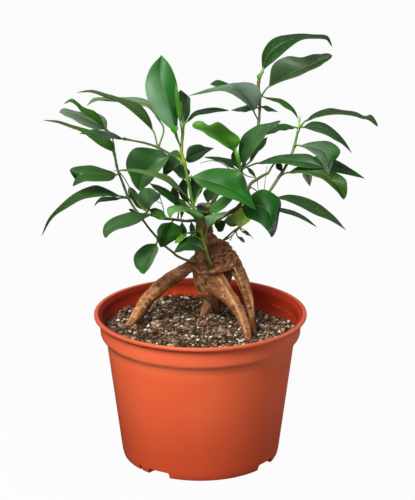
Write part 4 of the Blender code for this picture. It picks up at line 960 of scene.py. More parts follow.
UPPER = leaf_material("leaf_upper_side", False)
UNDER = leaf_material("leaf_under_side", True)
STALK = stalk_material()
BARK = bark_material()
PLASTIC = plastic_material("terracotta_plastic", False)
LINING_WITH_PAINTED_LIGHT = plastic_material("terracotta_lining_painted_light", True)
PEAT = peat_material()
CRUMB = crumb_material("peat_crumb", (
    (0.00, (0.018, 0.009, 0.005)), (0.34, (0.050, 0.025, 0.012)), (0.52, (0.135, 0.070, 0.036)),
    (0.70, (0.200, 0.108, 0.061)), (0.86, (0.305, 0.186, 0.115)), (0.95, (0.460, 0.325, 0.213)),
    (1.00, (0.350, 0.370, 0.155))))
GRIT = crumb_material("white_grain", (
    (0.00, (0.480, 0.420, 0.290)), (0.35, (0.640, 0.585, 0.462)), (0.70, (0.790, 0.765, 0.680)),
    (0.90, (0.740, 0.757, 0.635)), (1.00, (0.530, 0.590, 0.365))), gloss=0.85)
FIBRE = fibre_material()
SHOOT = {
    "stem_left": shoot_material("shoot_left_bark", (0.110, 0.120, 0.034),
                                (0.090, 0.150, 0.028), (0.080, 0.160, 0.022)),
    "stem_centre": shoot_material("shoot_centre_bark", (0.160, 0.190, 0.018),
                                  (0.120, 0.250, 0.016), (0.100, 0.215, 0.020)),
    "stem_upper_right": shoot_material("shoot_upper_bark", (0.105, 0.045, 0.018),
                                       (0.075, 0.120, 0.020), (0.090, 0.170, 0.022)),
    "stem_right": shoot_material("shoot_right_bark", (0.085, 0.070, 0.024),
                                 (0.085, 0.155, 0.024), (0.130, 0.260, 0.040)),
    "stem_brown": shoot_material("shoot_brown_bark", (0.075, 0.032, 0.014),
                                 (0.060, 0.050, 0.014), (0.080, 0.125, 0.018)),
    "stem_short_left": shoot_material("shoot_short_bark", (0.090, 0.050, 0.018),
                                      (0.080, 0.085, 0.020), (0.110, 0.240, 0.026)),
}


# ----------------------------------------------------------------- rootstock
# a raised fold of bark across the front, where the roots part, the ridge of
# the front root and the inner ridge of the right one
KNUCKLE = [(238, 262, 7, 1.6), (232.5, 264.5, 5.4, 3.0), (226.5, 267, 3.4, 3.6),
           (220.5, 268.8, 0.8, 3.3), (213.5, 271.6, -1.4, 2.8), (208, 271.4, -0.2, 2.2),
           (203, 273, 1.6, 2.6), (198.5, 270.4, 4.4, 2.2), (194.5, 266, 7.2, 1.6)]
SPINE = [(217, 275, -3.0, 1.3), (220, 279.5, -6.3, 1.5), (225, 287.5, -8.6, 1.6),
         (230, 295.5, -11.0, 1.5), (235, 304.5, -14.0, 1.4), (239.2, 313.5, -16.5, 1.3),
         (242.6, 322.5, -18.5, 1.1), (245.2, 331.5, -20.0, 0.8)]
CREST = [(228, 258.5, 5.4, 1.4), (232.5, 264, 4.4, 1.8), (236.5, 272, 4.1, 1.7),
         (240, 281, 2.9, 1.5), (243.5, 290.5, 0.8, 1.3), (247, 300, -1.0, 1.1),
         (249.4, 308, -2.6, 0.8)]
# knobs where shoots were cut away: (u, v, behind, radius)
KNOBS = [(211, 243, 3, 2.2), (216, 242.5, 4.6, 1.9), (225, 243.0, 6.4, 2.0),
         (230.5, 248, 6, 2.1), (222.5, 249.5, 3.4, 1.7), (212, 257.5, -1.0, 1.5),
         (201, 250, 3.4, 1.8), (197.5, 258.5, 3, 1.9), (204.5, 261, -0.4, 1.7),
         (216, 262, -0.6, 1.6), (230.5, 255, 4.2, 1.7), (209.5, 266, -1.2, 1.5),
         (200.5, 277.5, 2.6, 1.7), (208.5, 279.5, 0.5, 1.9), (197.5, 284.5, 7, 1.4),
         (203, 283.5, 3.6, 1.7), (236.5, 261.5, 5.4, 1.4), (212.5, 281.5, -2.2, 1.0)]


# hollows seen from the front, sunk into the bark and painted dark as shade: (u, v, half width, half height, depth)
HOLLOWS = [(212, 250, 4.5, 6.0, 0.8), (196.5, 264.5, 1.6, 1.5, 0.5), (199, 267.4, 1.8, 1.4, 0.6),
           (216, 263.8, 3.4, 1.3, 0.9), (211, 275.6, 5.0, 1.3, 0.7),
           (217, 274.6, 4.0, 1.2, 1.0), (202.6, 278.4, 2.4, 1.2, 0.9), (205.6, 280.4, 1.6, 1.6, 1.0),
           (209.5, 282.6, 1.8, 1.4, 0.9), (205.2, 284.6, 1.7, 1.3, 1.0), (212.8, 283.4, 2.2, 1.3, 0.8),
           (207.5, 278, 2.0, 1.2, 0.7), (211.4, 279.6, 1.2, 1.2, 0.7), (216, 286.8, 2.4, 1.3, 0.5),
           (222, 240.5, 2.2, 2.0, 0.6), (158.5, 285.8, 1.8, 1.1, 0.8), (249.5, 309.5, 1.6, 1.2, 0.7)]


# painted shade on the bark: (u, v, half width, half height, amount)
SHADED = [(212, 249, 9, 8, 1.0), (217, 258, 7, 5, 0.95), (222, 248, 5, 6, 0.60),
          (227, 243.5, 7, 4, 0.55), (226, 261, 5, 3.0, 0.45),
          (237, 256, 4.5, 5, 0.45), (243, 266, 3.2, 6, 0.45), (247, 277, 3.0, 6, 0.45),
          (249, 293, 3.0, 9, 0.36), (253.8, 324, 2.4, 7, 0.50), (197, 256, 5, 6, 0.30),
          (188.5, 267.5, 5, 5, 0.80), (181, 272, 5, 3.5, 0.50), (172, 278.5, 4, 3, 0.15),
          (158.5, 285.8, 2.2, 1.3, 0.85), (206, 279, 5.5, 2.6, 0.75), (213.5, 284, 3.5, 5, 0.65),
          (217, 275, 4.5, 1.7, 0.95), (205.4, 281, 2.2, 2.4, 0.95), (205.2, 284.8, 1.8, 1.4, 0.95),
          (209.6, 282.8, 2.2, 1.6, 0.85), (202.4, 278.4, 2.4, 1.3, 0.85), (199, 275.6, 4, 1.6, 0.45),
          (217.5, 289, 3.5, 5, 0.40), (222, 292, 3.0, 4, 0.30), (226, 298, 3.0, 4, 0.25),
          (228, 274, 4.5, 6, 0.60), (231, 289, 2.6, 5, 0.30), (240, 303, 2.4, 6, 0.35),
          (246, 318, 2.0, 7, 0.35), (211, 303, 3.5, 6, 0.35), (142.5, 313, 4, 5, 0.35),
          (131, 325, 4, 4, 0.35), (146, 305, 2.5, 4, 0.15)]


def beside(u, v, line):
    """Distance in the view from a point to a line of points."""
    best = 1e9
    for a, b in zip(line, line[1:]):
        du, dv = b[0] - a[0], b[1] - a[1]
        t = ((u - a[0]) * du + (v - a[1]) * dv) / (du * du + dv * dv)
        t = min(max(t, 0.0), 1.0)
        best = min(best, math.hypot(u - a[0] - t * du, v - a[1] - t * dv))
    return best


# pale scars across the left root: (u, v, direction, half length)
SCARS = [(151, 297, 0.74, 0.67, 3.6), (147.4, 301.6, 0.80, 0.60, 2.6), (144.3, 306.2, 0.88, 0.47, 3.2),
         (132.6, 316.5, 0.80, 0.60, 2.4), (156.6, 291.4, 0.62, 0.78, 2.2), (169, 281, 0.5, 0.86, 2.2)]


# where the bark is worn to tan, together with painted highlight on ridges and lobes that face the light: (u, v,
# half width)
WORN_AND_HIGHLIGHT = [(199.6, 282.6, 3.2), (202.4, 287, 2.0), (212.5, 281.5, 1.3), (222.5, 289, 1.8), (227.5, 297, 1.8),
        (231, 303.5, 1.8), (203.4, 298, 2.4), (203, 302, 2.4), (202.4, 306, 2.4), (202, 310, 2.2),
        (206.5, 306, 2.2), (232.5, 264.5, 2.0), (235, 269, 2.0), (237.5, 273.5, 2.2),
        (240, 278, 2.2), (241.8, 283.5, 1.8), (243.5, 290, 1.4),
        (246.4, 298, 1.4), (248.5, 306, 1.5), (252.2, 316, 1.6),
        (144.5, 296, 2.4), (141, 301.5, 2.2), (137.5, 308, 2.2), (134.5, 315, 2.0), (151.5, 288, 2.4),
        (156.5, 289.5, 3.0), (164.5, 284, 3.2), (168, 275.5, 1.8), (176, 270.5, 1.8),
        (212.5, 271.2, 2.4), (204.5, 271.5, 1.6)]


def lump_shape(level):
    bm = bmesh.new()
    bmesh.ops.create_icosphere(bm, subdivisions=level, radius=1.0)
    bm.verts.ensure_lookup_table()
    verts = np.array([v.co[:] for v in bm.verts])
    faces = np.array([[v.index for v in f.verts] for f in bm.faces])
    bm.free()
    return verts, faces


def make_rootstock():
    routes = (("trunk", TRUNK, 90), ("shoulder", SHOULDER, 90),
              ("front_root", FRONT_ROOT, 70), ("left_root", LEFT_ROOT, 80),
              ("rear_root", REAR_ROOT, 60), ("knuckle", KNUCKLE, 50),
              ("crest", CREST, 60), ("spine", SPINE, 60))
    verts, faces = [], []
    for u, v, behind, r in KNOBS:
        middle = sight(u, v, behind)
        ball, tri = lump_shape(3)
        faces += [tuple(len(verts) + int(i) for i in face) for face in tri]
        verts += [middle + Vector(p) * r for p in ball]
    for _, route, steps in routes:
        places, radii = path(route, steps)
        v, f, _ = tube_parts(places, radii, 26)
        faces += [tuple(len(verts) + i for i in face) for face in f]
        verts += v
    obj = build("rootstock_bark", verts, faces, [BARK])
    fuse = obj.modifiers.new("fuse", 'REMESH')
    fuse.mode = 'VOXEL'
    fuse.voxel_size = 0.00062
    soften = obj.modifiers.new("soften", 'SMOOTH')
    soften.factor = 0.5
    soften.iterations = 7
    bpy.context.view_layer.update()
    graph = bpy.context.evaluated_depsgraph_get()
    mesh = bpy.data.meshes.new_from_object(obj.evaluated_get(graph))
    obj.modifiers.clear()
    obj.data = mesh
    mesh.name = "rootstock_bark"

    trees = []
    for number, (_, route, _) in enumerate(routes[:-1]):
        places, radii = path(route, 200)
        places, radii = resampled(places, radii, 0.6)
        tree = KDTree(len(places))
        for i, p in enumerate(places):
            tree.insert(p, i)
        tree.balance()
        trees.append((tree, places, radii, frames_along(places), number * 31.7))

    top = sight(*TRUNK[0][:3]).z
    count = len(mesh.vertices)
    co = np.empty(count * 3)
    no = np.empty(count * 3)
    mesh.vertices.foreach_get("co", co)
    mesh.vertices.foreach_get("normal", no)
    co = co.reshape(-1, 3) / MM
    no = no.reshape(-1, 3)
    relief_and_shade, rings, cuts, necks, crowns = [], [], [], [], []
    pits, tans_and_highlights, shades = [], [], []
    shift = np.zeros(count)
    for n in range(count):
        p = Vector(co[n])
        near = []
        for tree, places, radii, across, seed in trees:
            spot, i, d = tree.find(p)
            near.append((d - radii[i], i, spot, across, radii, seed))
        near.sort(key=lambda item: item[0])
        gap = near[1][0] - near[0][0]
        _, i, spot, across, radii, seed = near[0]
        e, f = across[i]
        out = (p - spot)
        a = math.atan2(out.dot(f), out.dot(e))
        along_mm = i * 0.6
        c, s = math.cos(a), math.sin(a)
        r = max(radii[i], 2.0)
        lumps = noise3(p.x / 8, p.y / 8, p.z / 8 + 4)
        flute = noise3(c * 1.5 + seed, s * 1.5, along_mm / 26)
        # rings of bark, broken round the root
        warp = 1.6 * noise3(c * 1.1 + seed, s * 1.1, along_mm / 9 + 5)
        crest = 1 - abs(2 * noise3(c * 0.9, s * 0.9, (along_mm + warp) / 1.5 + seed))
        broken = smoothstep(-0.15, 0.35, noise3(c * 1.7, s * 1.7, along_mm / 6 + seed + 9))
        crest = max(crest, 0.0) ** 2 * broken
        lip = smoothstep(0.30, 0.52, noise3(c * r / 2.0 + seed, s * r / 2.0, along_mm / 0.75))
        skin = noise3(p.x / 1.5, p.y / 1.5, p.z / 1.5 + seed)
        crack = math.exp(-(gap / 1.1) ** 2)
        split = smoothstep(0.80, 1.0, 1 - abs(noise3(c * r / 3.0 + 40, s * r / 3.0 + seed,
                                                     along_mm / 16)) * 2.2)
        sheer = smoothstep(-0.9, -0.1, p.z - top)
        size = min(r / 5.0, 1.3)
        # the crown is knobbly where old shoots were cut away
        u, v = seen(p)
        crown = (smoothstep(276.0, 262.0, v) * smoothstep(224.0, 234.0, v)
                 * smoothstep(178.0, 194.0, u) * (0.60 + 0.40 * smoothstep(0.45, -0.25, noise3(
                     p.x / 11, p.y / 11, p.z / 11 + 3))))
        knobs = noise3(p.x / 2.6, p.y / 2.6, p.z / 2.6 + 17)
        grit = noise3(p.x / 1.15, p.y / 1.15, p.z / 1.15 + 29)
        # small pits between the knobs, and the deep folds at the front
        spots, _ = noise.voronoi(p / 3.4)
        pit_and_shade = crown * smoothstep(0.34, 0.12, spots[0])
        if p.y < 6.0:
            for hu, hv, wu, wv, deep in HOLLOWS:
                pit_and_shade = max(pit_and_shade, deep * math.exp(-((u - hu) / wu) ** 2 - ((v - hv) / wv) ** 2))
        pit_and_shade = min(pit_and_shade * (0.75 + 0.7 * knobs), 1.0) if pit_and_shade > 0.02 else 0.0
        shift[n] = ((0.70 * lumps * size + 0.55 * flute * size + 0.26 * crest
                     + 0.22 * lip + 0.18 * skin - 0.36 * crack - 0.18 * split * size
                     + 1.35 * crown * max(knobs, -0.45) + 0.70 * crown * grit
                     - 0.55 * crown - 1.30 * max(pit_and_shade, 0.0))
                    * (1 - 0.8 * sheer))
        # painted light: the last two terms raise the relief number where the bark faces up and where it faces
        # left, so the shader paints it paler there, and darker where it faces down and where it faces right
        relief_and_shade.append(min(max(0.5 + 0.62 * flute + 0.35 * lumps + 0.34 * skin
                              - 0.34 * crack - 0.24 * split + 0.12 * crest
                              + 0.55 * crown * knobs + 0.30 * crown * grit + 0.20 * no[n][2]
                              - 0.10 * no[n][0] * (1 - crown), 0.0), 1.0))
        crowns.append(crown * 0.50)
        dark = 0.0
        if p.y < 30.0:
            for hu, hv, wu, wv, deep in SHADED:
                dark = max(dark, deep * math.exp(-((u - hu) / wu) ** 2 - ((v - hv) / wv) ** 2))
        shades.append(min(dark * (1.0 - 0.5 * max(knobs, 0.0) * crown), 1.0))
        pits.append(max(pit_and_shade, 0.0))
        # worn tan bark with painted highlight on the front root and its lobes, a painted highlight along the front
        # root's ridge, and painted light on the root behind the trunk, which lies in shade
        worn_and_highlight = 0.0
        if p.y < 12.0 or (v > 294.0 and u < 215.0 and p.y < 45.0):
            for tu, tv, wide in WORN_AND_HIGHLIGHT:
                worn_and_highlight = max(worn_and_highlight, math.exp(-((u - tu) ** 2 + (v - tv) ** 2) / (wide * wide)))
        ridge = (smoothstep(2.3, 0.7, beside(u, v, SPINE)) * smoothstep(276.0, 281.0, v)
                 * (0.45 + 0.55 * smoothstep(284.0, 300.0, v)) if p.y < 0.0 else 0.0)
        under = (smoothstep(294.0, 299.0, v) * smoothstep(214.0, 207.0, u) * smoothstep(190.0, 196.0, u)
                 if 5.0 < p.y < 45.0 else 0.0)
        scar = 0.0
        if p.y < 12.0:
            for su, sv, sx, sy, half in SCARS:
                across_it = (v - sv) * sx - (u - su) * sy
                along_it = (u - su) * sx + (v - sv) * sy
                scar = max(scar, math.exp(-(across_it / 0.95) ** 2)
                           * smoothstep(half, half - 1.4, abs(along_it)))
        tans_and_highlights.append(min(max(worn_and_highlight * (0.68 + 0.6 * max(skin, -0.5)), ridge * (0.72 + 0.3 * skin),
                            under * (0.75 + 0.4 * max(skin, -0.5)), scar), 1.0))
        rings.append(min(max(crest * 0.8 + lip * 0.7, 0.0), 1.0))
        cuts.append(sheer * smoothstep(0.55, 0.9, no[n][2]))
        necks.append(smoothstep(145.0, 165.0, p.z) * 0.9)
    co += no * shift[:, None]
    mesh.vertices.foreach_set("co", (co * MM).ravel())
    for name, values in (("relief_and_shade", relief_and_shade), ("ring", rings), ("cut", cuts),
                         ("neck", necks), ("crown", crowns), ("pit_and_shade", pits), ("tan_and_highlight", tans_and_highlights),
                         ("shade", shades)):
        give(mesh, name, values)
    mesh.materials.clear()
    mesh.materials.append(BARK)
    mesh.shade_smooth()
    mesh.update()
    return stands_for(obj, "rootstock")


rootstock = make_rootstock()
bpy.context.view_layer.update()
root_tree = BVHTree.FromObject(rootstock, bpy.context.evaluated_depsgraph_get())


# -------------------------------------------------------------------- shoots
def stem_route(name, branch):
    return [(u, v, behind + leaned(name, v), r)
            for u, v, behind, r in STEMS[name][branch]]


stem_axis = {}
for name, branches in STEMS.items():
    stem_axis[name] = []
    for number in range(len(branches)):
        fine, fine_radii = path(stem_route(name, number), 240)
        stem_axis[name].append(resampled(fine, fine_radii, 0.7))


def stalk_foot(stem_name, stalk_at):
    """The branch, index and place on a shoot's axis where a stalk leaves it."""
    best = None
    for number, (places, _) in enumerate(stem_axis[stem_name]):
        for i, p in enumerate(places):
            d = math.dist(seen(p), stalk_at)
            if best is None or d < best[0]:
                best = (d, number, i, p)
    return best[1:]


MORE_LEAVES = [
    # half hidden small ones: as in LEAVES
    ("small_leaf_rolled", "stem_centre", (182.4, 138), 3.2, 1, -1,
     [(180.4, 124, -14), (178.6, 113, -14), (177.4, 102, -13), (176.7, 92, -11),
      (175.6, 82.5, -8)],
     [(176.8, 113), (175.6, 102), (174.9, 91.5)], [(180.9, 112.6), (179.6, 101.6), (178.4, 92)]),
    ("small_leaf_behind_long", "stem_upper_right", (258.9, 100), 9, 1, -1,
     [(250, 97, 12), (240, 91.5, 10), (231, 87.5, 6), (221, 84.6, 1), (209.6, 84.2, -3)],
     [(240, 89), (230, 84), (218, 80)], [(240, 94), (231, 90.6), (220, 88)]),
    ("small_leaf_vivid", "stem_centre", (181, 148.5), 4, 1, -1,
     [(175.2, 134.8, -17), (174.3, 131.6, -18), (174.4, 128.6, -18.5), (175.4, 125.2, -19)],
     [(171, 130.4), (171, 127.2)], [(177.2, 131.2), (178.6, 127.8)]),
    ("small_leaf_bud_upper", "stem_upper_right", (259.4, 81.5), 1.3, 1, -1,
     [(259.4, 80.6, 4), (258.5, 78.2, 3), (258.5, 75.8, 3), (260.2, 72.8, 3)],
     [(257.2, 78.4), (257, 75.4)], [(260.2, 78.2), (260.6, 75.6)]),
    ("small_leaf_rolled_right", "stem_upper_right", (241, 170.5), 1.5, 1, -1,
     [(240.4, 169.5, -7), (239.2, 164, -8), (237.8, 158, -9), (236.5, 152.4, -9),
      (235.6, 147, -8)],
     [(237.7, 164.3), (236, 158.4), (234.7, 152.4)], [(240.9, 163.6), (239.7, 157.4), (238.3, 152.2)]),
    ("small_leaf_under_blunt", "stem_upper_right", (240.8, 170.8), 5, 1, -1,
     [(239.6, 170, 3), (237, 163, 3), (235.4, 156, 3), (234.8, 148.5, 2)],
     [(232.6, 163.4), (231.2, 155.6)], [(241.2, 162), (239.8, 155)]),
    ("small_leaf_upper_back", "stem_upper_right", (259.6, 107), 6, 1, -1,
     [(261.5, 106.5, 18), (267, 108, 26), (272, 109.8, 33), (278, 112, 38)],
     [(266, 105.6), (272, 108.2)], [(266.5, 111), (272, 111.6)]),
    ("small_leaf_fork_left", "stem_centre", (194.5, 211), 7, 1, -1,
     [(207.5, 212.3, -3), (204, 209.8, 2), (200, 208, 7), (195.2, 206.5, 11)],
     [(205.5, 206.8), (200, 204.8)], [(202.5, 212.8), (198, 211)]),
    ("small_leaf_fork_back", "stem_upper_right", (213, 203), 7, 1, -1,
     [(207.5, 202.5, 14), (209, 197, 19), (211, 191, 24), (214, 184, 28)],
     [(204.5, 198), (204, 191)], [(213.5, 198), (218, 192)]),
    ("small_leaf_centre_back", "stem_centre", (192.5, 202), 7, 1, -1,
     [(189, 204, 2), (184, 198, 9), (182, 188, 15), (183, 178, 19)],
     [(181, 197), (178, 188)], [(188, 194), (187, 183)]),
    ("small_leaf_yellow", "stem_centre", (193.4, 207), 6, 1, -1,
     [(189, 206.5, -2), (184.5, 204.4, 2), (180.5, 202.3, 5), (175, 200.8, 8)],
     [(184, 200.5), (180, 199)], [(183.5, 207.5), (179, 206.3)]),
    ("small_leaf_deep_left", "stem_short_left", (178, 220), 7, 1, -1,
     [(178, 208, 6), (175, 201, 10), (173.5, 194, 14), (173, 185, 17)],
     [(171.5, 201), (170.5, 193)], [(179.5, 199.5), (178, 192)]),
    ("small_leaf_left_tip", "stem_left", (128, 198), 8, 1, -1,
     [(120, 198, -3), (110, 198.8, 2), (102, 199.5, 6), (97.5, 201.5, 8), (94, 206, 9)],
     [(110, 196.5), (102, 197), (98, 199.8)], [(111, 200.8), (103, 201.6), (98, 202.8)]),
    ("small_leaf_inner_left", "stem_centre", (185, 163), 6, 1, -1,
     [(176, 166, 2), (171, 166.5, 7), (167, 170, 11), (163.3, 177, 14)],
     [(169, 163.8), (163.2, 166)], [(173.5, 169.8), (168.5, 173.5)]),
    ("small_leaf_low_left", "stem_short_left", (169, 219), 6, 1, -1,
     [(167, 217.5, -14), (160.5, 214.3, -10), (154.5, 211.8, -6), (148.8, 209.5, -2)],
     [(162, 210.6), (155, 208)], [(160, 220), (153.5, 216.4)]),
    ("small_leaf_low_right", "stem_right", (240, 226.5), 6, 1, -1,
     [(240, 223, 14), (235, 221, 19), (230, 220, 23), (223.5, 221, 26)],
     [(235, 215.6), (229, 215.6)], [(234.5, 226.4), (229, 226)]),
    ("small_leaf_bright_tip", "stem_centre", (190, 233.5), 4, 1, -1,
     [(186.5, 233.6, -13), (183, 236, -16), (179, 239.6, -18), (174.5, 243.6, -19)],
     [(181.5, 234.4), (176.3, 238.6)], [(184.4, 238), (180.5, 241.8)]),
    ("small_leaf_by_neck", "stem_short_left", (190, 220.8), 5, 1, -1,
     [(191, 222.5, 4), (192, 227, 3), (192.3, 232, 1), (191, 238, -1)],
     [(189.6, 226.5), (190, 232.5)], [(194.6, 226), (194.6, 232)]),
    ("small_leaf_hanging_left", "stem_short_left", (182, 220.5), 5, 1, -1,
     [(181.8, 222.5, 0), (182.3, 227, -2), (183.4, 232, -3), (186, 237.5, -4)],
     [(179.6, 227), (180.4, 233)], [(185, 226.2), (187, 231.6)]),
    ("small_leaf_sheath", "stem_upper_right", (242, 170), 3, 1, -1,
     [(247.6, 167, 8), (250, 170.2, 8), (253, 174, 8), (256.3, 178.4, 8)],
     [(248.6, 171.6), (252, 175)], [(251.8, 169.6), (254.6, 173.4)]),
    ("small_leaf_dark_speck", "stem_short_left", (181, 220.5), 3, 1, -1,
     [(181, 217, 2), (181.6, 214.5, 4), (182, 212.3, 5), (181.6, 209, 6)],
     [(180.4, 214.5), (180.4, 212)], [(183.4, 214.2), (183.6, 211.6)]),
    ("small_leaf_left_speck", "stem_left", (137, 212), 4, 1, -1,
     [(136.5, 212.5, 4), (133.5, 211.5, 8), (130.8, 210.3, 11), (128.4, 209.4, 14)],
     [(133.4, 209.6), (130.8, 208.8)], [(133.4, 213), (130.8, 211.8)]),
    ("small_leaf_behind_level", "stem_right", (283, 171), 5, 1, -1,
     [(281.5, 171.5, 18), (280, 168.5, 21), (278.6, 165.5, 24), (277.6, 161, 27)],
     [(277, 169), (275.6, 165)], [(282.6, 167), (281.4, 163.6)]),
    ("small_leaf_low_speck", "stem_right", (236, 230), 4, 1, -1,
     [(238, 236.6, 12), (240.5, 238, 14), (242.8, 240, 15), (245, 242.8, 16)],
     [(241.4, 237), (244, 239.4)], [(239.8, 239.6), (242, 241.8)]),
    ("small_leaf_low_speck_right", "stem_right", (240, 227), 4, 1, -1,
     [(242.6, 231.4, 14), (245, 232, 16), (247.6, 233.6, 17), (250.4, 236, 18)],
     [(245.4, 230.4), (248.4, 232.4)], [(244.6, 233.4), (247, 235.2)]),
]

# thin side twigs: (u, v, behind, radius)
TWIGS = {
    "stem_left": [
        [(128.5, 198, -8, 0.5), (130, 190, -7, 0.42), (126.5, 182, -5, 0.38),
         (122.5, 175.5, -4, 0.34), (119, 171.5, -3, 0.22)]],
    "stem_centre": [
        [(193.2, 207, -11, 0.7), (195.8, 200, -13, 0.56), (199.2, 192, -15, 0.52),
         (203.2, 187.2, -16, 0.52), (208, 184.5, -16, 0.4)],
        [(203.4, 241, -8, 0.6), (196, 236.5, -9, 0.5), (190, 233.5, -11, 0.42),
         (185, 233.5, -12, 0.3)],
        [(199.5, 227, -10, 0.6), (195.5, 231, -5, 0.55), (194, 237, -2, 0.5),
         (193.8, 243, 0, 0.4)]],
    "stem_upper_right": [
        [(240.8, 170.6, 4, 0.6), (245, 175, 6, 0.42), (250, 176.8, 8, 0.36),
         (255.8, 177.8, 9, 0.22)],
        [(236, 175.5, 4, 0.5), (226, 166, 12, 0.34), (216, 161.2, 18, 0.30),
         (207, 161.2, 23, 0.26), (200, 163.6, 27, 0.16)]],
    "stem_right": [
        [(226, 239.5, 12, 0.6), (230.5, 236.8, 9, 0.42), (234.5, 233, 7, 0.40),
         (238.5, 229.2, 5, 0.40), (243, 225, 5, 0.45)],
        [(230, 240.5, 10, 0.4), (231.5, 237.5, 10, 0.30), (233.5, 234, 11, 0.2)],
        [(262, 201, 4, 0.4), (264, 190, 9, 0.30), (265.5, 178, 13, 0.26),
         (267, 166, 16, 0.16)],
        [(239, 228, 10, 0.5), (244, 229.8, 13, 0.32), (249, 233.8, 15, 0.3),
         (253.5, 239, 16, 0.2)]],
    "stem_brown": [
        [(247.8, 189, -4, 0.7), (250.8, 187.6, -5, 0.5), (254, 189, -6, 0.46),
         (258, 192, -7, 0.34)],
        [(257, 179.5, 0, 0.35), (257.6, 184, 3, 0.25), (258.4, 190.5, 6, 0.16)]],
    "stem_short_left": [
        [(163.4, 218.7, -11, 0.5), (163.8, 211, -8, 0.36), (161.8, 203, -5, 0.34),
         (160, 197, -3, 0.3), (160.5, 191, -1, 0.2)],
        [(161.5, 203.5, -5, 0.3), (158.5, 202.3, -3, 0.24), (155, 199.6, -1, 0.16)]],
}

# stretches of another colour: (kind, left, right, from, to, amount)
BANDS = {
    "stem_upper_right": [("brown", 254, 264, 81.5, 94.0, 0.92), ("brown", 228, 246, 165, 181, 0.35),
                         ("pale", 254, 266, 68, 78.5, 0.30)],
    "stem_centre": [("gold", 177, 190, 147, 163, 0.75), ("brown", 175, 182, 143.5, 149, 0.55),
                    ("pale", 179, 187, 100, 127, 0.55)],
    "stem_right": [("pale", 295, 303, 110, 131, 0.70), ("pale", 286, 298, 141, 158, 0.30),
                   ("brown", 276, 284, 172, 180, 0.60), ("brown", 295.5, 300, 128, 134, 0.35)],
}

joints = {name: [[] for _ in branches] for name, branches in STEMS.items()}
for row in LEAVES + MORE_LEAVES:
    branch, i, _ = stalk_foot(row[1], row[2])
    joints[row[1]][branch].append(i)


def make_shoot(name):
    rng = random.Random("shoot " + name)
    verts, faces, uv = [], [], []
    for number, (places, radii) in enumerate(stem_axis[name]):
        places, radii = list(places), list(radii)
        marks = joints[name][number]
        grown = []
        for i, r in enumerate(radii):
            swell = 0.0
            for m in marks:
                d = (i - m) * 0.7
                swell = max(swell, 0.21 * math.exp(-((d / 1.5) ** 2)))
                if 1.2 < d < 3.2:       # the ring that a fallen stipule leaves
                    swell = max(swell, 0.09 * math.exp(-(((d - 2.2) / 0.35) ** 2)))
            grown.append(r * (1 + 0.04 * math.sin(i * 0.31)) + swell)
        # the pointed bud at the end
        ahead = (places[-1] - places[-3]).normalized()
        tip_r = grown[-1]
        bud = 5.5 if number == 0 else 3.6
        for k in range(1, 9):
            f = k / 8
            places.append(places[-1] + ahead * (bud / 8))
            grown.append(max(tip_r * (1 + 0.42 * math.sin(math.pi * min(f * 1.4, 1.0)) - f * f), 0.07))
        seed = rng.uniform(0, 60)

        def shape(i, a, seed=seed):
            return (1 + 0.07 * noise3(math.cos(a) * 1.3 + seed, math.sin(a) * 1.3, i * 0.12)
                    + 0.035 * noise3(math.cos(a) * 3 + seed, math.sin(a) * 3, i * 0.55))
        v, f, t = tube_parts(places, grown, 14, shape)
        faces += [tuple(len(verts) + k for k in face) for face in f]
        verts += v
        if number:
            t = [(a, (2.0 if name == "stem_centre" else 0.62) + 0.38 * b) for a, b in t]
        uv += t
    for twig in TWIGS.get(name, ()):
        route = [(u, v, behind + leaned(name, v), r) for u, v, behind, r in twig]
        places, radii = resampled(*path(route, 40), 0.9)
        v, f, t = tube_parts(places, radii, 9)
        faces += [tuple(len(verts) + k for k in face) for face in f]
        verts += v
        uv += [(a, 0.35 + 0.6 * b) for a, b in t]
    obj = build(name + "_shoot", verts, faces, [SHOOT[name]], corner_uv=uv)
    places = [seen(p) for p in verts]
    for kind in ("brown", "gold", "pale"):
        amounts = []
        for u, v in places:
            most = 0.0
            for sort, left, right, first, last, amount in BANDS.get(name, ()):
                if sort == kind and left < u < right:
                    most = max(most, amount * smoothstep(first - 1.2, first + 1.2, v)
                               * smoothstep(last + 1.2, last - 1.2, v))
            amounts.append(most)
        give(obj.data, kind, amounts)
    return stands_for(obj, name)


for name in STEMS:
    make_shoot(name)


# -------------------------------------------------------------------- leaves
MID_GREEN = (0.022, 0.070, 0.014)
VIVID = (0.012, 0.112, 0.009)
DEEP = (0.014, 0.064, 0.009)
DARK = (0.014, 0.047, 0.008)
GREY = (0.038, 0.076, 0.036)
PALE_GREY = (0.076, 0.114, 0.074)
GREY_GREEN = (0.034, 0.088, 0.030)
# painted sheen: pale grey-green standing for light glancing off a blade
PAINTED_SHEEN = (0.050, 0.140, 0.050)
FRESH = (0.040, 0.135, 0.010)
BRIGHT = (0.072, 0.230, 0.018)
OLIVE = (0.042, 0.072, 0.014)
PALE_OLIVE = (0.085, 0.150, 0.032)

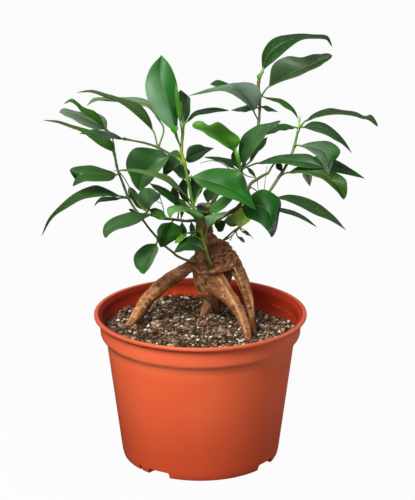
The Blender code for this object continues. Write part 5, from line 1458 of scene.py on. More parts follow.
TINTS = {
    "leaf_front_right": (0.004, 0.064, 0.003),
    "leaf_far_right_high": (0.024, 0.048, 0.012), "leaf_right_arch": (0.020, 0.046, 0.020),
    # partly painted sheen: the pale grey tint of leaf_grey_left is partly its own colour and partly light glancing
    # off it
    "leaf_thin_arch": (0.001, 0.014, 0.001), "leaf_grey_left": (0.118, 0.168, 0.086),
    "leaf_top": (0.005, 0.028, 0.001), "leaf_right_dark_tip": (0.016, 0.066, 0.008),
    "leaf_dark_band": DEEP, "leaf_dark_left": (0.020, 0.132, 0.003), "leaf_dark_back_left": DEEP,
    "leaf_behind_upright": (0.020, 0.068, 0.018), "leaf_behind_grey": DEEP,
    "leaf_small_dark": DARK, "leaf_inner_back": DEEP, "leaf_thin_back": DEEP,
    "leaf_back_of_fork": DEEP, "leaf_back_pair_left": (0.030, 0.090, 0.024),
    "leaf_back_pair_right": (0.026, 0.080, 0.022),
    "leaf_low_centre": (0.022, 0.108, 0.008), "leaf_on_trunk": (0.009, 0.047, 0.006),
    "leaf_young_left": (0.027, 0.118, 0.005), "leaf_young_upper": (0.022, 0.095, 0.009),
    "leaf_cup_left": (0.108, 0.238, 0.062), "leaf_cup_right": (0.098, 0.218, 0.088),
    "leaf_pale_short": (0.080, 0.212, 0.064), "leaf_pale_arch": PALE_OLIVE,
    # painted light: leaf_olive lies in shade and is tinted very pale to stand for the light that shines through it
    "leaf_olive": (0.620, 0.980, 0.190), "leaf_small_hanging": (0.070, 0.150, 0.020),
    "leaf_inner_right": (0.084, 0.300, 0.054), "leaf_right_low": (0.026, 0.058, 0.016),
    "leaf_left_low": GREY_GREEN, "leaf_long_left": (0.032, 0.064, 0.009),
    "small_leaf_bright_tip": (0.070, 0.190, 0.012), "small_leaf_sheath": PALE_OLIVE,
    "small_leaf_low_left": (0.045, 0.140, 0.014), "small_leaf_yellow": (0.085, 0.190, 0.012),
    "small_leaf_behind_long": (0.012, 0.052, 0.008), "small_leaf_fork_left": GREY, "small_leaf_rolled": (0.050, 0.190, 0.010),
    "small_leaf_vivid": (0.030, 0.180, 0.002), "small_leaf_bud_upper": (0.130, 0.330, 0.032),
    "small_leaf_under_blunt": (0.022, 0.085, 0.012),
    "small_leaf_fork_back": (0.030, 0.090, 0.022), "small_leaf_low_right": (0.050, 0.120, 0.020),
}
# blades of more than one tone: side a then side b at the foot, and at the tip
TONES = {
    # painted sheen: side a, the left half of leaf_upright, is tinted pale grey-green at its foot where light
    # glances off it
    "leaf_upright": ((0.086, 0.192, 0.084), VIVID, (0.026, 0.125, 0.024), VIVID),
    "leaf_front": ((0.018, 0.100, 0.017), (0.016, 0.098, 0.013),
                   (0.011, 0.100, 0.008), (0.012, 0.112, 0.009)),
    "small_leaf_rolled_right": ((0.060, 0.180, 0.018), (0.060, 0.180, 0.018),
                                (0.190, 0.450, 0.070), (0.190, 0.450, 0.070)),
    "leaf_second_top": ((0.034, 0.066, 0.034), (0.030, 0.060, 0.030),
                        (0.004, 0.016, 0.003), (0.006, 0.018, 0.004)),
    "leaf_bright_blunt": ((0.072, 0.285, 0.019), (0.110, 0.420, 0.034),
                          (0.240, 0.640, 0.080), (0.220, 0.620, 0.070)),
    "leaf_large_grey": ((0.030, 0.100, 0.026), (0.038, 0.082, 0.030),
                        (0.036, 0.078, 0.036), (0.034, 0.064, 0.034)),
    "leaf_large_left": ((0.022, 0.078, 0.020), (0.048, 0.108, 0.032),
                        (0.020, 0.078, 0.016), (0.040, 0.100, 0.026)),
    "leaf_pale_right": ((0.066, 0.112, 0.060), (0.084, 0.122, 0.080), (0.008, 0.080, 0.006),
                        (0.066, 0.118, 0.064)),
    "leaf_lowest_left": ((0.026, 0.112, 0.020), (0.078, 0.160, 0.062),
                         (0.024, 0.112, 0.018), (0.038, 0.125, 0.028)),
    # partly painted sheen: the pale grey tones of leaf_long_centre and leaf_grey_pointed are partly their own
    # colour and partly light glancing off them
    "leaf_long_centre": ((0.108, 0.152, 0.106), (0.084, 0.134, 0.080),
                         (0.104, 0.148, 0.102), (0.080, 0.128, 0.074)),
    "leaf_grey_pointed": ((0.122, 0.178, 0.110), (0.124, 0.182, 0.112),
                          (0.114, 0.164, 0.104), (0.114, 0.164, 0.104)),
    "leaf_left_arch": (FRESH, (0.050, 0.160, 0.012), (0.036, 0.056, 0.018), OLIVE),
    "leaf_left_side_on": ((0.054, 0.088, 0.054), GREY, (0.022, 0.072, 0.018), DARK),
    "leaf_left_drooping": ((0.018, 0.078, 0.012), MID_GREEN, (0.006, 0.022, 0.002), (0.010, 0.026, 0.001)),
    "leaf_right_hanging": ((0.070, 0.128, 0.046), (0.046, 0.106, 0.020),
                           (0.020, 0.056, 0.002), (0.022, 0.060, 0.002)),
    "leaf_right_level": ((0.022, 0.085, 0.014), (0.020, 0.078, 0.013),
                         (0.040, 0.074, 0.032), (0.022, 0.062, 0.014)),
}
# painted highlight: blades that are painted paler at the foot, where light glances off them
PAINTED_FOOT_HIGHLIGHT = {"leaf_front": 0.8, "leaf_large_left": 0.2}
UNDERSIDE_SHOWN = set()

ROWS = 34
HALF = 8

# leaves whose end is rounded off: where that starts along them, and how much
ROUND_END = {
    "leaf_bright_blunt": (0.80, 1.0), "leaf_second_top": (0.84, 0.9),
    "leaf_lowest_left": (0.88, 0.5), "leaf_left_low": (0.82, 0.7),
    "leaf_front_right": (0.86, 0.45), "leaf_left_level": (0.84, 0.8),
    "leaf_far_right_high": (0.82, 0.75), "leaf_large_left": (0.84, 0.6),
    "leaf_top": (0.90, 0.6), "leaf_young_left": (0.84, 0.8),
    "leaf_right_hanging": (0.86, 0.5), "leaf_low_centre": (0.82, 0.6),
    "leaf_olive": (0.70, 1.0), "leaf_small_dark": (0.74, 0.9),
    "leaf_pale_short": (0.80, 0.9), "leaf_large_grey": (0.86, 0.5),
}


# how far (mm) the margin wanders
RAGGED = {
    "leaf_young_left": 0.80, "leaf_far_right_high": 0.55, "leaf_left_side_on": 0.50,
    "leaf_long_left": 0.45, "leaf_grey_left": 0.45, "leaf_grey_pointed": 0.50,
    "leaf_long_centre": 0.45, "leaf_large_grey": 0.55, "leaf_top": 0.45, "leaf_thin_arch": 0.45,
    "leaf_second_top": 0.40, "leaf_bright_blunt": 0.50, "leaf_right_hanging": 0.50,
    "leaf_left_level": 0.40, "leaf_left_drooping": 0.40, "leaf_lowest_left": 0.40,
}


def rounded_end(steps, ms, side, start, amount):
    """The edge with its last stretch closed like a half circle."""
    first = next(i for i, t in enumerate(steps) if t >= start)
    reach = side[first] - ms[first]
    out = list(side)
    for i in range(first + 1, len(steps) - 1):
        f = (steps[i] - steps[first]) / (1.0 - steps[first])
        full = reach * math.sqrt(max(1.0 - f * f, 0.0))
        out[i] = ms[i] + (side[i] - ms[i]).lerp(full, amount)
    return out



def make_leaf(name, stem_name, stalk_at, half_width, lean_a, lean_b, mid, a, b):
    rng = random.Random("leaf " + name)
    shift = leaned(stem_name, stalk_at[1])
    mid = [(u, v, behind + shift) for u, v, behind in mid]
    side_a = edge(mid, a, lean_a, half_width)
    side_b = edge(mid, b, lean_b, half_width)
    across0 = (sight(*along(side_b, 0.3)) - sight(*along(side_a, 0.3))).normalized()
    steps = []
    for i in range(ROWS + 1):
        f = i / ROWS
        steps.append(0.62 * f + 0.38 * (0.5 - 0.5 * math.cos(math.pi * f)))
    ms = [sight(*along(mid, t)) for t in steps]
    pas = [sight(*along(side_a, t)) for t in steps]
    pbs = [sight(*along(side_b, t)) for t in steps]
    if name in ROUND_END:
        pas = rounded_end(steps, ms, pas, *ROUND_END[name])
        pbs = rounded_end(steps, ms, pbs, *ROUND_END[name])
    rag = RAGGED.get(name, 0.30)
    length = sum((q - p).length for p, q in zip(ms, ms[1:]))
    seed = 3.7 * len(name) + ms[0].x
    for side, own in ((pas, seed), (pbs, seed + 41.0)):
        for i, t in enumerate(steps):
            reach = side[i] - ms[i]
            w = reach.length
            if w < 0.8:
                continue
            wander = (0.75 * noise3(own, t * length / 9.0, 0.5)
                      + 0.45 * noise3(own, t * length / 4.6, 7.5))
            side[i] = ms[i] + reach * (1 + rag * wander * min(w / 4.0, 1.0) / w)
    pas[0], pbs[0] = ms[0] - across0 * 0.35, ms[0] + across0 * 0.35
    pas[-1], pbs[-1] = ms[-1] - across0 * 0.05, ms[-1] + across0 * 0.05
    ups = []
    for i in range(ROWS + 1):
        t = (ms[min(i + 1, ROWS)] - ms[max(i - 1, 0)]).normalized()
        j = min(max(i, 3), ROWS - 3)
        ups.append(t.cross(pbs[j] - pas[j]).normalized())
    total = Vector()
    for i in range(4, ROWS - 3):
        total += ups[i] * (pbs[i] - pas[i]).length
    sign = 1.0 if total.dot(Vector((0.0, -0.35, 1.0))) > 0 else -1.0
    if name in UNDERSIDE_SHOWN:
        sign = -sign
    ups = [n * sign for n in ups]
    smooth = []
    for i in range(ROWS + 1):
        n = Vector()
        for k in (-2, -1, 0, 1, 2):
            n += ups[min(max(i + k, 0), ROWS)]
        smooth.append(n.normalized())
    ups = smooth

    widths = [((pb - pa).length) for pa, pb in zip(pas, pbs)]
    widest = max(widths)
    dip = 0.075 * widest * 0.5
    wave_a = (rng.uniform(1.6, 3.2), rng.uniform(0, 6.28), rng.uniform(0.005, 0.014))
    wave_b = (rng.uniform(1.6, 3.2), rng.uniform(0, 6.28), rng.uniform(0.005, 0.014))
    crown = rng.uniform(0.070, 0.115)
    pucker = rng.uniform(0.05, 0.09)
    half = 0.17
    columns = 2 * HALF + 1
    top, bottom = [], []
    for i, t in enumerate(steps):
        n = ups[i]
        body = math.sin(math.pi * min(max(t, 0.0), 1.0)) ** 0.6 if 0 < t < 1 else 0.0
        m = ms[i] - n * (dip * body)
        for k in range(columns):
            x = (k - HALF) / HALF
            s = abs(x)
            s = s ** 1.15
            tip = pbs[i] if x > 0 else pas[i]
            w = (tip - ms[i]).length
            p = m.lerp(tip, s)
            freq, phase, size = wave_b if x > 0 else wave_a
            lift = crown * w * 4 * s * (1 - s)
            ribs = math.sin(2 * math.pi * (t * VEINS - s * (1.15 + 0.55 * s)))
            lift += pucker * body * ribs * 4 * s * (1 - s)
            lift += size * widest * body * s * s * math.sin(2 * math.pi * freq * t + phase)
            lift -= 0.10 * body * math.exp(-((s * w / 0.8) ** 2))
            p = p + n * lift
            h = half * (1 - 0.55 * s)
            if i in (0, ROWS):
                h *= 0.6
            top.append(p + n * h)
            bottom.append(p - n * h)
    # u runs evenly with the real distance from the midrib
    uvs = []
    for t in steps:
        for k in range(columns):
            x = (k - HALF) / HALF
            uvs.append((0.5 + 0.5 * math.copysign(abs(x) ** 1.15, x), t))
    verts = top + bottom
    base = len(top)
    faces, index, corner = [], [], []

    def add(face, slot, pts):
        faces.append(face)
        index.append(slot)
        corner.extend(uvs[p % base] for p in pts)

    for i in range(ROWS):
        for k in range(columns - 1):
            q = (i * columns + k, i * columns + k + 1,
                 (i + 1) * columns + k + 1, (i + 1) * columns + k)
            add(q, 0, q)
            low = tuple(base + j for j in q[::-1])
            add(low, 1, low)
    # the rim
    ring = ([k for k in range(columns)]
            + [i * columns + columns - 1 for i in range(1, ROWS + 1)]
            + [ROWS * columns + k for k in range(columns - 2, -1, -1)]
            + [i * columns for i in range(ROWS - 1, 0, -1)])
    for p, q in zip(ring, ring[1:] + ring[:1]):
        f = (q, p, base + p, base + q)
        add(f, 0, f)
    return verts, faces, index, corner, ms, ups, dip, steps, rng, widest


def make_leaf_piece(row, node):
    name, stem_name, stalk_at = row[0], row[1], row[2]
    verts, faces, index, corner, ms, ups, dip, steps, rng, widest = make_leaf(*row)
    # faces must look along the upper side
    q = faces[2 * (ROWS // 2) * (2 * HALF) + HALF]
    n = (verts[q[1]] - verts[q[0]]).cross(verts[q[3]] - verts[q[0]])
    if n.dot(ups[ROWS // 2]) < 0:
        flipped, uv_out, at = [], [], 0
        for face in faces:
            flipped.append(face[::-1])
            uv_out += corner[at:at + len(face)][::-1]
            at += len(face)
        faces, corner = flipped, uv_out

    # the stalk, which runs on as the rib below the blade
    _, _, node_at = stalk_foot(stem_name, stalk_at)
    foot = ms[0]
    ahead = (ms[3] - ms[0]).normalized()
    reach = foot - node_at
    bend = (node_at, node_at + reach * 0.35, foot - ahead * reach.length * 0.3, foot)
    line, radii = [], []
    stalk_steps = max(int(reach.length / 0.9), 7)
    thick = 0.62 if widest > 12 else 0.46
    for i in range(stalk_steps):
        t = i / stalk_steps
        line.append(bend[0] * (1 - t) ** 3 + bend[1] * 3 * t * (1 - t) ** 2
                    + bend[2] * 3 * t * t * (1 - t) + bend[3] * t ** 3)
        radii.append(thick * (1.25 - 0.30 * smoothstep(0.0, 0.35, t)
                              + 0.06 * smoothstep(0.7, 1.0, t)))
    for i, t in enumerate(steps[:-2]):
        r = thick * (0.95 * (1 - t) ** 0.8 + 0.10)
        body = math.sin(math.pi * t) ** 0.6 if 0 < t < 1 else 0.0
        sink = smoothstep(0.0, 0.10, t)
        line.append(ms[i] - ups[i] * (dip * body + 0.16 * body + sink * (0.02 + 0.80 * r)))
        radii.append(r)
    v, f, uv = tube_parts(line, radii, 9)
    base = len(verts)
    faces = faces + [tuple(base + k for k in face) for face in f]
    verts = verts + v
    index = index + [2] * len(f)
    corner = corner + uv
    piece = build(name + "_blade" if node else name, verts, faces,
                  [UPPER, UNDER, STALK], index, corner, sharp=48)
    colour = TINTS.get(name, MID_GREEN if node else DEEP)
    f = rng.uniform(0.90, 1.10)
    red, blue = f * rng.uniform(0.9, 1.1), f * rng.uniform(0.9, 1.1)
    tint(piece.data, (colour[0] * red, colour[1] * f, colour[2] * blue))
    if name in TONES:
        shades = [(c[0] * red, c[1] * f, c[2] * blue) for c in TONES[name]]
        columns = 2 * HALF + 1
        layer = piece.data.attributes["tint"].data
        for i in range(2 * (ROWS + 1) * columns):
            place = i % ((ROWS + 1) * columns)
            m = smoothstep(-0.10, 0.10, (place % columns - HALF) / HALF)
            t = smoothstep(0.30, 0.85, steps[place // columns])
            mixed = [(a * (1 - m) + b * m) * (1 - t) + (c * (1 - m) + d * m) * t
                     for a, b, c, d in zip(*shades)]
            # painted highlight near the foot of the blade
            if name in PAINTED_FOOT_HIGHLIGHT:
                k = PAINTED_FOOT_HIGHLIGHT[name] * smoothstep(0.26, 0.02, steps[place // columns])
                mixed = [a * (1 - k) + b * k for a, b in zip(mixed, (0.130, 0.240, 0.110))]
            layer[i].color = (*mixed, 1.0)
    if node:
        stands_for(piece, node)
    else:
        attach(piece, "root")
    return piece


for row in LEAVES:
    make_leaf_piece(row, row[0])
for row in MORE_LEAVES:
    make_leaf_piece(row, None)


# ----------------------------------------------------------------------- pot
def rounded(corners):
    """(radius, height, fillet) corners as a profile with arcs at them."""
    out = []
    for i, (r, h, fillet) in enumerate(corners):
        if not fillet or i in (0, len(corners) - 1):
            out.append((r, h))
            continue
        p = Vector((r, h))
        a = Vector(corners[i - 1][:2]) - p
        b = Vector(corners[i + 1][:2]) - p
        cut = min(fillet, a.length * 0.48, b.length * 0.48)
        start, stop = p + a.normalized() * cut, p + b.normalized() * cut
        for k in range(6):
            f = k / 5
            q = start * (1 - f) ** 2 + p * 2 * f * (1 - f) + stop * f * f
            out.append((q.x, q.y))
    return out


def dense(profile, step):
    """Extra points so that no run is longer than `step`."""
    out = [profile[0]]
    for a, b in zip(profile, profile[1:]):
        n = max(int(math.dist(a, b) / step), 1)
        out += [(a[0] + (b[0] - a[0]) * k / n, a[1] + (b[1] - a[1]) * k / n)
                for k in range(1, n + 1)]
    return out


ROOF = CHANNEL_HEIGHT + FLOOR
CORNERS = [
    (0.0, FLOOR, 0), (PLATEAU_RADIUS - FLOOR, FLOOR, 1.2),
    (CHANNEL_INNER_RADIUS - 1.0, ROOF, 1.2),
    (outer_radius(ROOF) - WALL, ROOF, 1.5),
    (outer_radius(BODY_TOP_HEIGHT) - WALL, BODY_TOP_HEIGHT, 1.5),
    (COLLAR_FOOT_RADIUS - WALL, BODY_TOP_HEIGHT + 5.6, 2.0),
    (COLLAR_TOP_RADIUS - WALL, POT_HEIGHT - LIP_DEPTH - 0.4, 1.2),
    (RIM_RADIUS - LIP_FLAT, POT_HEIGHT, 1.3),
    (RIM_RADIUS, POT_HEIGHT, 1.0),
    (RIM_RADIUS, POT_HEIGHT - LIP_DEPTH, 0.8),
    (COLLAR_TOP_RADIUS, POT_HEIGHT - LIP_DEPTH, 0.9),
    (COLLAR_FOOT_RADIUS, COLLAR_FOOT_HEIGHT - 0.3, 1.6),
    (BODY_TOP_RADIUS + 1.2, BODY_TOP_HEIGHT + 3.1, 2.2),
    (BODY_TOP_RADIUS, BODY_TOP_HEIGHT, 2.0),
    (BODY_FOOT_RADIUS, BODY_FOOT_HEIGHT, 2.0),
    (RING_RADIUS, 0.0, 1.0), (RING_RADIUS - WALL, 0.0, 0.6),
    (BODY_FOOT_RADIUS - WALL, CHANNEL_HEIGHT, 1.0),
    (CHANNEL_INNER_RADIUS, CHANNEL_HEIGHT, 1.0),
    (PLATEAU_RADIUS, 0.0, 1.0), (0.0, 0.0, 0)]


def wall_radius(z):
    """Inside radius of the pot at height z."""
    if z >= POT_HEIGHT - LIP_DEPTH - 0.4:
        f = (z - (POT_HEIGHT - LIP_DEPTH - 0.4)) / (LIP_DEPTH + 0.4)
        low = COLLAR_TOP_RADIUS - WALL
        return low + (RIM_RADIUS - LIP_FLAT - low) * min(f, 1.0)
    if z >= BODY_TOP_HEIGHT + 5.6:
        return COLLAR_FOOT_RADIUS - WALL
    f = (z - BODY_TOP_HEIGHT) / 5.6
    low = outer_radius(BODY_TOP_HEIGHT) - WALL
    if f <= 0:
        return outer_radius(max(z, BODY_FOOT_HEIGHT)) - WALL
    return low + (COLLAR_FOOT_RADIUS - WALL - low) * f


def make_pot():
    # the lip runs into the collar in a soft curve
    corners = list(CORNERS)
    corners[10] = (COLLAR_TOP_RADIUS + 0.7, POT_HEIGHT - LIP_DEPTH, 1.6)
    profile = dense(rounded(corners), 4.0)
    turns = 160
    verts, faces = [], []
    verts.append(Vector((0, 0, profile[0][1])))
    inner_points = profile[1:-1]
    for k in range(turns):
        a = 2 * math.pi * k / turns
        for r, h in inner_points:
            verts.append(Vector((r * math.sin(a), -r * math.cos(a), h)))
    verts.append(Vector((0, 0, profile[-1][1])))
    n = len(inner_points)
    for k in range(turns):
        nxt = (k + 1) % turns
        a0, b0 = 1 + k * n, 1 + nxt * n
        faces.append((0, a0, b0))
        for i in range(n - 1):
            faces.append((a0 + i, a0 + i + 1, b0 + i + 1, b0 + i))
        faces.append((a0 + n - 1, len(verts) - 1, b0 + n - 1))
    obj = build("pot_shell", verts, faces, [PLASTIC])
    bm = bmesh.new()
    bm.from_mesh(obj.data)
    bmesh.ops.recalc_face_normals(bm, faces=bm.faces)
    bm.to_mesh(obj.data)
    bm.free()

    def block(size, radius, azimuth, height, soft=True):
        bm = bmesh.new()
        bmesh.ops.create_cube(bm, size=1.0)
        angle = math.radians(azimuth)
        bm.transform(Matrix.Translation((radius * MM * math.sin(angle),
                                         -radius * MM * math.cos(angle), height * MM))
                     @ Matrix.Rotation(angle, 4, 'Z')
                     @ Matrix.Diagonal((size[0] * MM, size[1] * MM, size[2] * MM, 1.0)))
        # the mould rounds the upper corners of each opening
        rims = [e for e in bm.edges
                if min(v.co.z for v in e.verts) > height * MM
                and abs((e.verts[0].co - e.verts[1].co).normalized().dot(
                    Vector((math.sin(angle), -math.cos(angle), 0)))) > 0.9]
        if soft:
            bmesh.ops.bevel(bm, geom=rims, offset=min(size[0] * 0.3, 1.5) * MM,
                            segments=5, affect='EDGES', profile=0.5)
        mesh = bpy.data.meshes.new("opening")
        bm.to_mesh(mesh)
        bm.free()
        tool = bpy.data.objects.new("opening", mesh)
        bpy.context.scene.collection.objects.link(tool)
        return tool

    tools = []
    for half in (0.0, 180.0):
        for side in (-1.0, 1.0):
            for centre, width in NOTCHES:
                azimuth = FOOT_AXIS + half + side * centre
                wide = 2.0 * RING_RADIUS * math.sin(math.radians(width / 2.0))
                tools.append(block((wide, 14.0, 2.0 * NOTCH_HEIGHT), RING_RADIUS + 1.0,
                                   azimuth, 0.0))
            azimuth = FOOT_AXIS + half + side * NOTCHES[0][0]
            tools.append(block((DRAIN_SIZE[0], DRAIN_SIZE[1], 6.0), DRAIN_RADIUS,
                               azimuth, ROOF))
    ribs = []
    for half in (0.0, 180.0):
        for side in (-1.0, 1.0):
            ribs.append(block(RIB_SIZE, RIB_RADIUS, FOOT_AXIS + half + side * RIB_AT,
                              0.4 + RIB_SIZE[2] / 2.0, soft=False))
    for tool in tools:
        step = obj.modifiers.new("cut", 'BOOLEAN')
        step.operation = 'DIFFERENCE'
        step.solver = 'EXACT'
        step.object = tool
    for rib in ribs:
        step = obj.modifiers.new("join", 'BOOLEAN')
        step.operation = 'UNION'
        step.solver = 'EXACT'
        step.object = rib
    soft = obj.modifiers.new("soft", 'BEVEL')
    soft.width = 0.00022
    soft.segments = 2
    soft.limit_method = 'ANGLE'
    soft.angle_limit = math.radians(48)
    soft.use_clamp_overlap = True
    bpy.context.view_layer.update()
    graph = bpy.context.evaluated_depsgraph_get()
    mesh = bpy.data.meshes.new_from_object(obj.evaluated_get(graph))
    obj.modifiers.clear()
    obj.data = mesh
    mesh.name = "pot_shell"
    for tool in tools + ribs:
        bpy.data.objects.remove(tool, do_unlink=True)
    mesh.materials.clear()
    mesh.materials.append(PLASTIC)
    mesh.materials.append(LINING_WITH_PAINTED_LIGHT)
    dust, within, eaves, lit, dim, lip, overhang_light, below = [], [], [], [], [], [], [], []
    for v in mesh.vertices:
        x, y, z = v.co / MM
        r = math.hypot(x, y)
        facing = (v.normal.x * x + v.normal.y * y) / max(r, 1e-6)
        inside = z > ROOF + 1.0 and facing < 0.0
        level = soil_height(x, y)
        near_soil = smoothstep(level + 6.5, level + 0.5, z) * 0.8 if inside else 0.0
        foot = smoothstep(6.0, 0.5, z) * 0.15
        dust.append(max(near_soil, foot, 0.03))
        within.append(smoothstep(-0.10, -0.45, facing) if inside and r > 55.0 else 0.0)
        # the back of the wall is lit, its right side is in shade
        turn = x / max(r, 1e-6)
        lit.append(within[-1] * (smoothstep(-0.75, -0.25, turn) * smoothstep(0.45, 0.05, turn)
                                 if y > 0 else 0.0) * 0.95)
        dim.append(within[-1] * smoothstep(0.20, 0.62, turn) * 0.80)
        # the flare under the lip keeps its shade on the left
        upper = smoothstep(POT_HEIGHT - LIP_DEPTH - 4.0, POT_HEIGHT - LIP_DEPTH - 0.5, z)
        eaves.append(within[-1] * upper * smoothstep(0.55, -0.30, turn) * 0.90)
        top_part = smoothstep(POT_HEIGHT - LIP_DEPTH - 0.6, POT_HEIGHT - LIP_DEPTH + 0.4, z)
        lip.append(top_part * (0.55 + 0.30 * abs(turn)))
        # painted light: downward faces under the lip and the collar, to be painted paler
        outer = facing > 0.0 and v.normal.z < -0.15
        overhang_light.append(smoothstep(-0.15, -0.55, v.normal.z) * 0.9
                    if outer and 83.0 < z < POT_HEIGHT - 1.0 and r > 60.0 else 0.0)
        # painted shade under the pot, inside the foot ring
        below.append(1.0 if z < CHANNEL_HEIGHT + 1.2 and r < RING_RADIUS - WALL + 0.3 else 0.0)
    for face in mesh.polygons:
        if min(within[i] for i in face.vertices) > 0.5:
            face.material_index = 1
    give(mesh, "lip", lip)
    give(mesh, "overhang_painted_light", overhang_light)
    give(mesh, "below", below)
    give(mesh, "lit_wall", lit)
    give(mesh, "dim_wall", dim)
    give(mesh, "dust", dust)
    give(mesh, "inside", within)
    give(mesh, "eaves", eaves)
    mesh.shade_smooth()
    mesh.set_sharp_from_angle(angle=math.radians(42))
    return stands_for(obj, "pot")


make_pot()


# ---------------------------------------------------------------------- soil
def soil_relief(x, y):
    """Small heaps and hollows of loose peat (mm)."""
    return (1.35 * noise3(x / 9.0, y / 9.0, 3.1) + 1.15 * noise3(x / 3.6, y / 3.6, 7.7)
            + 0.75 * noise3(x / 1.7, y / 1.7, 11.3))


def near_root(x, y, z):
    spot, normal, _, d = root_tree.find_nearest(Vector((x, y, z)) * MM)
    if spot is None:
        return 99.0
    inside = (Vector((x, y, z)) * MM - spot).dot(normal) < 0
    return -d / MM if inside else d / MM


def soil_top(x, y):
    z = soil_height(x, y) + soil_relief(x, y)
    d = near_root(x, y, z)
    if d < 5.0:                      # peat is pushed up against the roots
        z += 1.1 * (1 - smoothstep(0.0, 5.0, max(d, 0.0)))
    return z


def make_soil():
    rings, turns = 78, 300
    edge_r = wall_radius(SOIL_LEVEL) - 0.15
    verts, faces, relief_and_shade = [Vector((0, 0, soil_top(0, 0)))], [], [0.5]
    for i in range(1, rings + 1):
        r = edge_r * i / rings
        for k in range(turns):
            a = 2 * math.pi * k / turns
            x, y = r * math.sin(a), -r * math.cos(a)
            z = soil_top(x, y)
            reach = min(r, wall_radius(z) - 0.15)
            verts.append(Vector((reach * math.sin(a), -reach * math.cos(a), z)))
            relief_and_shade.append(min(max(0.5 + 0.30 * soil_relief(x, y), 0.0), 1.0))
    side = [z for z in (84.0, 70.0, 50.0, 30.0, ROOF + 0.4)]
    profile = [(wall_radius(z) - 0.25, z) for z in side]
    profile += [(CHANNEL_INNER_RADIUS - 1.0, ROOF + 0.4), (PLATEAU_RADIUS - FLOOR - 0.4, FLOOR + 0.35)]
    for r, z in profile:
        for k in range(turns):
            a = 2 * math.pi * k / turns
            verts.append(Vector((r * math.sin(a), -r * math.cos(a), z)))
            relief_and_shade.append(0.4)
    verts.append(Vector((0, 0, FLOOR + 0.35)))
    relief_and_shade.append(0.4)
    total = rings + len(profile)
    for k in range(turns):
        n = (k + 1) % turns
        faces.append((0, 1 + k, 1 + n))
        for i in range(total - 1):
            a, b = 1 + i * turns, 1 + (i + 1) * turns
            faces.append((a + k, b + k, b + n, a + n))
        a = 1 + (total - 1) * turns
        faces.append((a + k, len(verts) - 1, a + n))
    obj = build("soil_bed", verts, faces, [PEAT])
    give(obj.data, "relief_and_shade", relief_and_shade)
    return stands_for(obj, "soil")


make_soil()


def scatter(name, material, count, sizes, rng, level_for, flat=(0.5, 1.0),
            tones=(0.0, 1.0), sink=0.25, power=1.0):
    """Loose grains on the soil, as one mesh of separate lumps."""
    shapes = {level: lump_shape(level) for level in (1, 2)}
    verts, faces, tone, total = [], [], [], 0
    made = tries = 0
    while made < count and tries < count * 6:
        tries += 1
        size = sizes[0] * (sizes[1] / sizes[0]) ** (rng.random() ** power)
        r = 68.6 * math.sqrt(rng.random())
        a = rng.uniform(0, 2 * math.pi)
        x, y = r * math.cos(a), r * math.sin(a)
        z = soil_top(x, y)
        if r > wall_radius(z) - size * 0.7:
            continue
        if near_root(x, y, z) < size * 0.3:
            continue
        made += 1
        base, tri = shapes[level_for(size)]
        stretch = np.array([rng.uniform(*flat), rng.uniform(0.7, 1.1), rng.uniform(0.45, 0.8)])
        seed = rng.uniform(0, 90)
        rough = np.array([1 + 0.50 * noise.noise(Vector((v[0] * 1.7 + seed, v[1] * 1.7, v[2] * 1.7)))
                          + 0.42 * noise.noise(Vector((v[0] * 3.9, v[1] * 3.9 + seed, v[2] * 3.9)))
                          for v in base])
        turn = Matrix.Rotation(rng.uniform(0, 6.28), 3, 'Z') @ Matrix.Rotation(
            rng.uniform(-0.6, 0.6), 3, 'X') @ Matrix.Rotation(rng.uniform(-0.6, 0.6), 3, 'Y')
        pts = (base * rough[:, None] * stretch * size * 0.5) @ np.array(turn).T
        pts += np.array([x, y, z + size * (0.5 - sink) * 0.7])
        verts.append(pts)
        faces.append(tri + total)
        total += len(base)
        tone += [rng.uniform(*tones) ** 1.0] * len(base)
    verts = np.concatenate(verts)
    faces = np.concatenate(faces)
    obj = build(name, verts.tolist(), faces.tolist(), [material])
    give(obj.data, "tone", tone)
    obj.data.set_sharp_from_angle(angle=math.radians(38))
    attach(obj, "root")
    return obj


scatter("soil_crumbs", CRUMB, 2000, (1.4, 3.8), random.Random(11),
        lambda s: 2, flat=(0.6, 1.4), power=1.6, tones=(0.0, 0.98), sink=0.16)
scatter("soil_small_crumbs", CRUMB, 3200, (0.8, 1.9), random.Random(12),
        lambda s: 2 if s > 1.4 else 1, flat=(0.6, 1.4), power=1.2, sink=0.15)
scatter("soil_white_grains", GRIT, 430, (0.8, 2.6), random.Random(23),
        lambda s: 2 if s > 1.2 else 1, flat=(0.7, 1.25), power=1.5, sink=0.1)

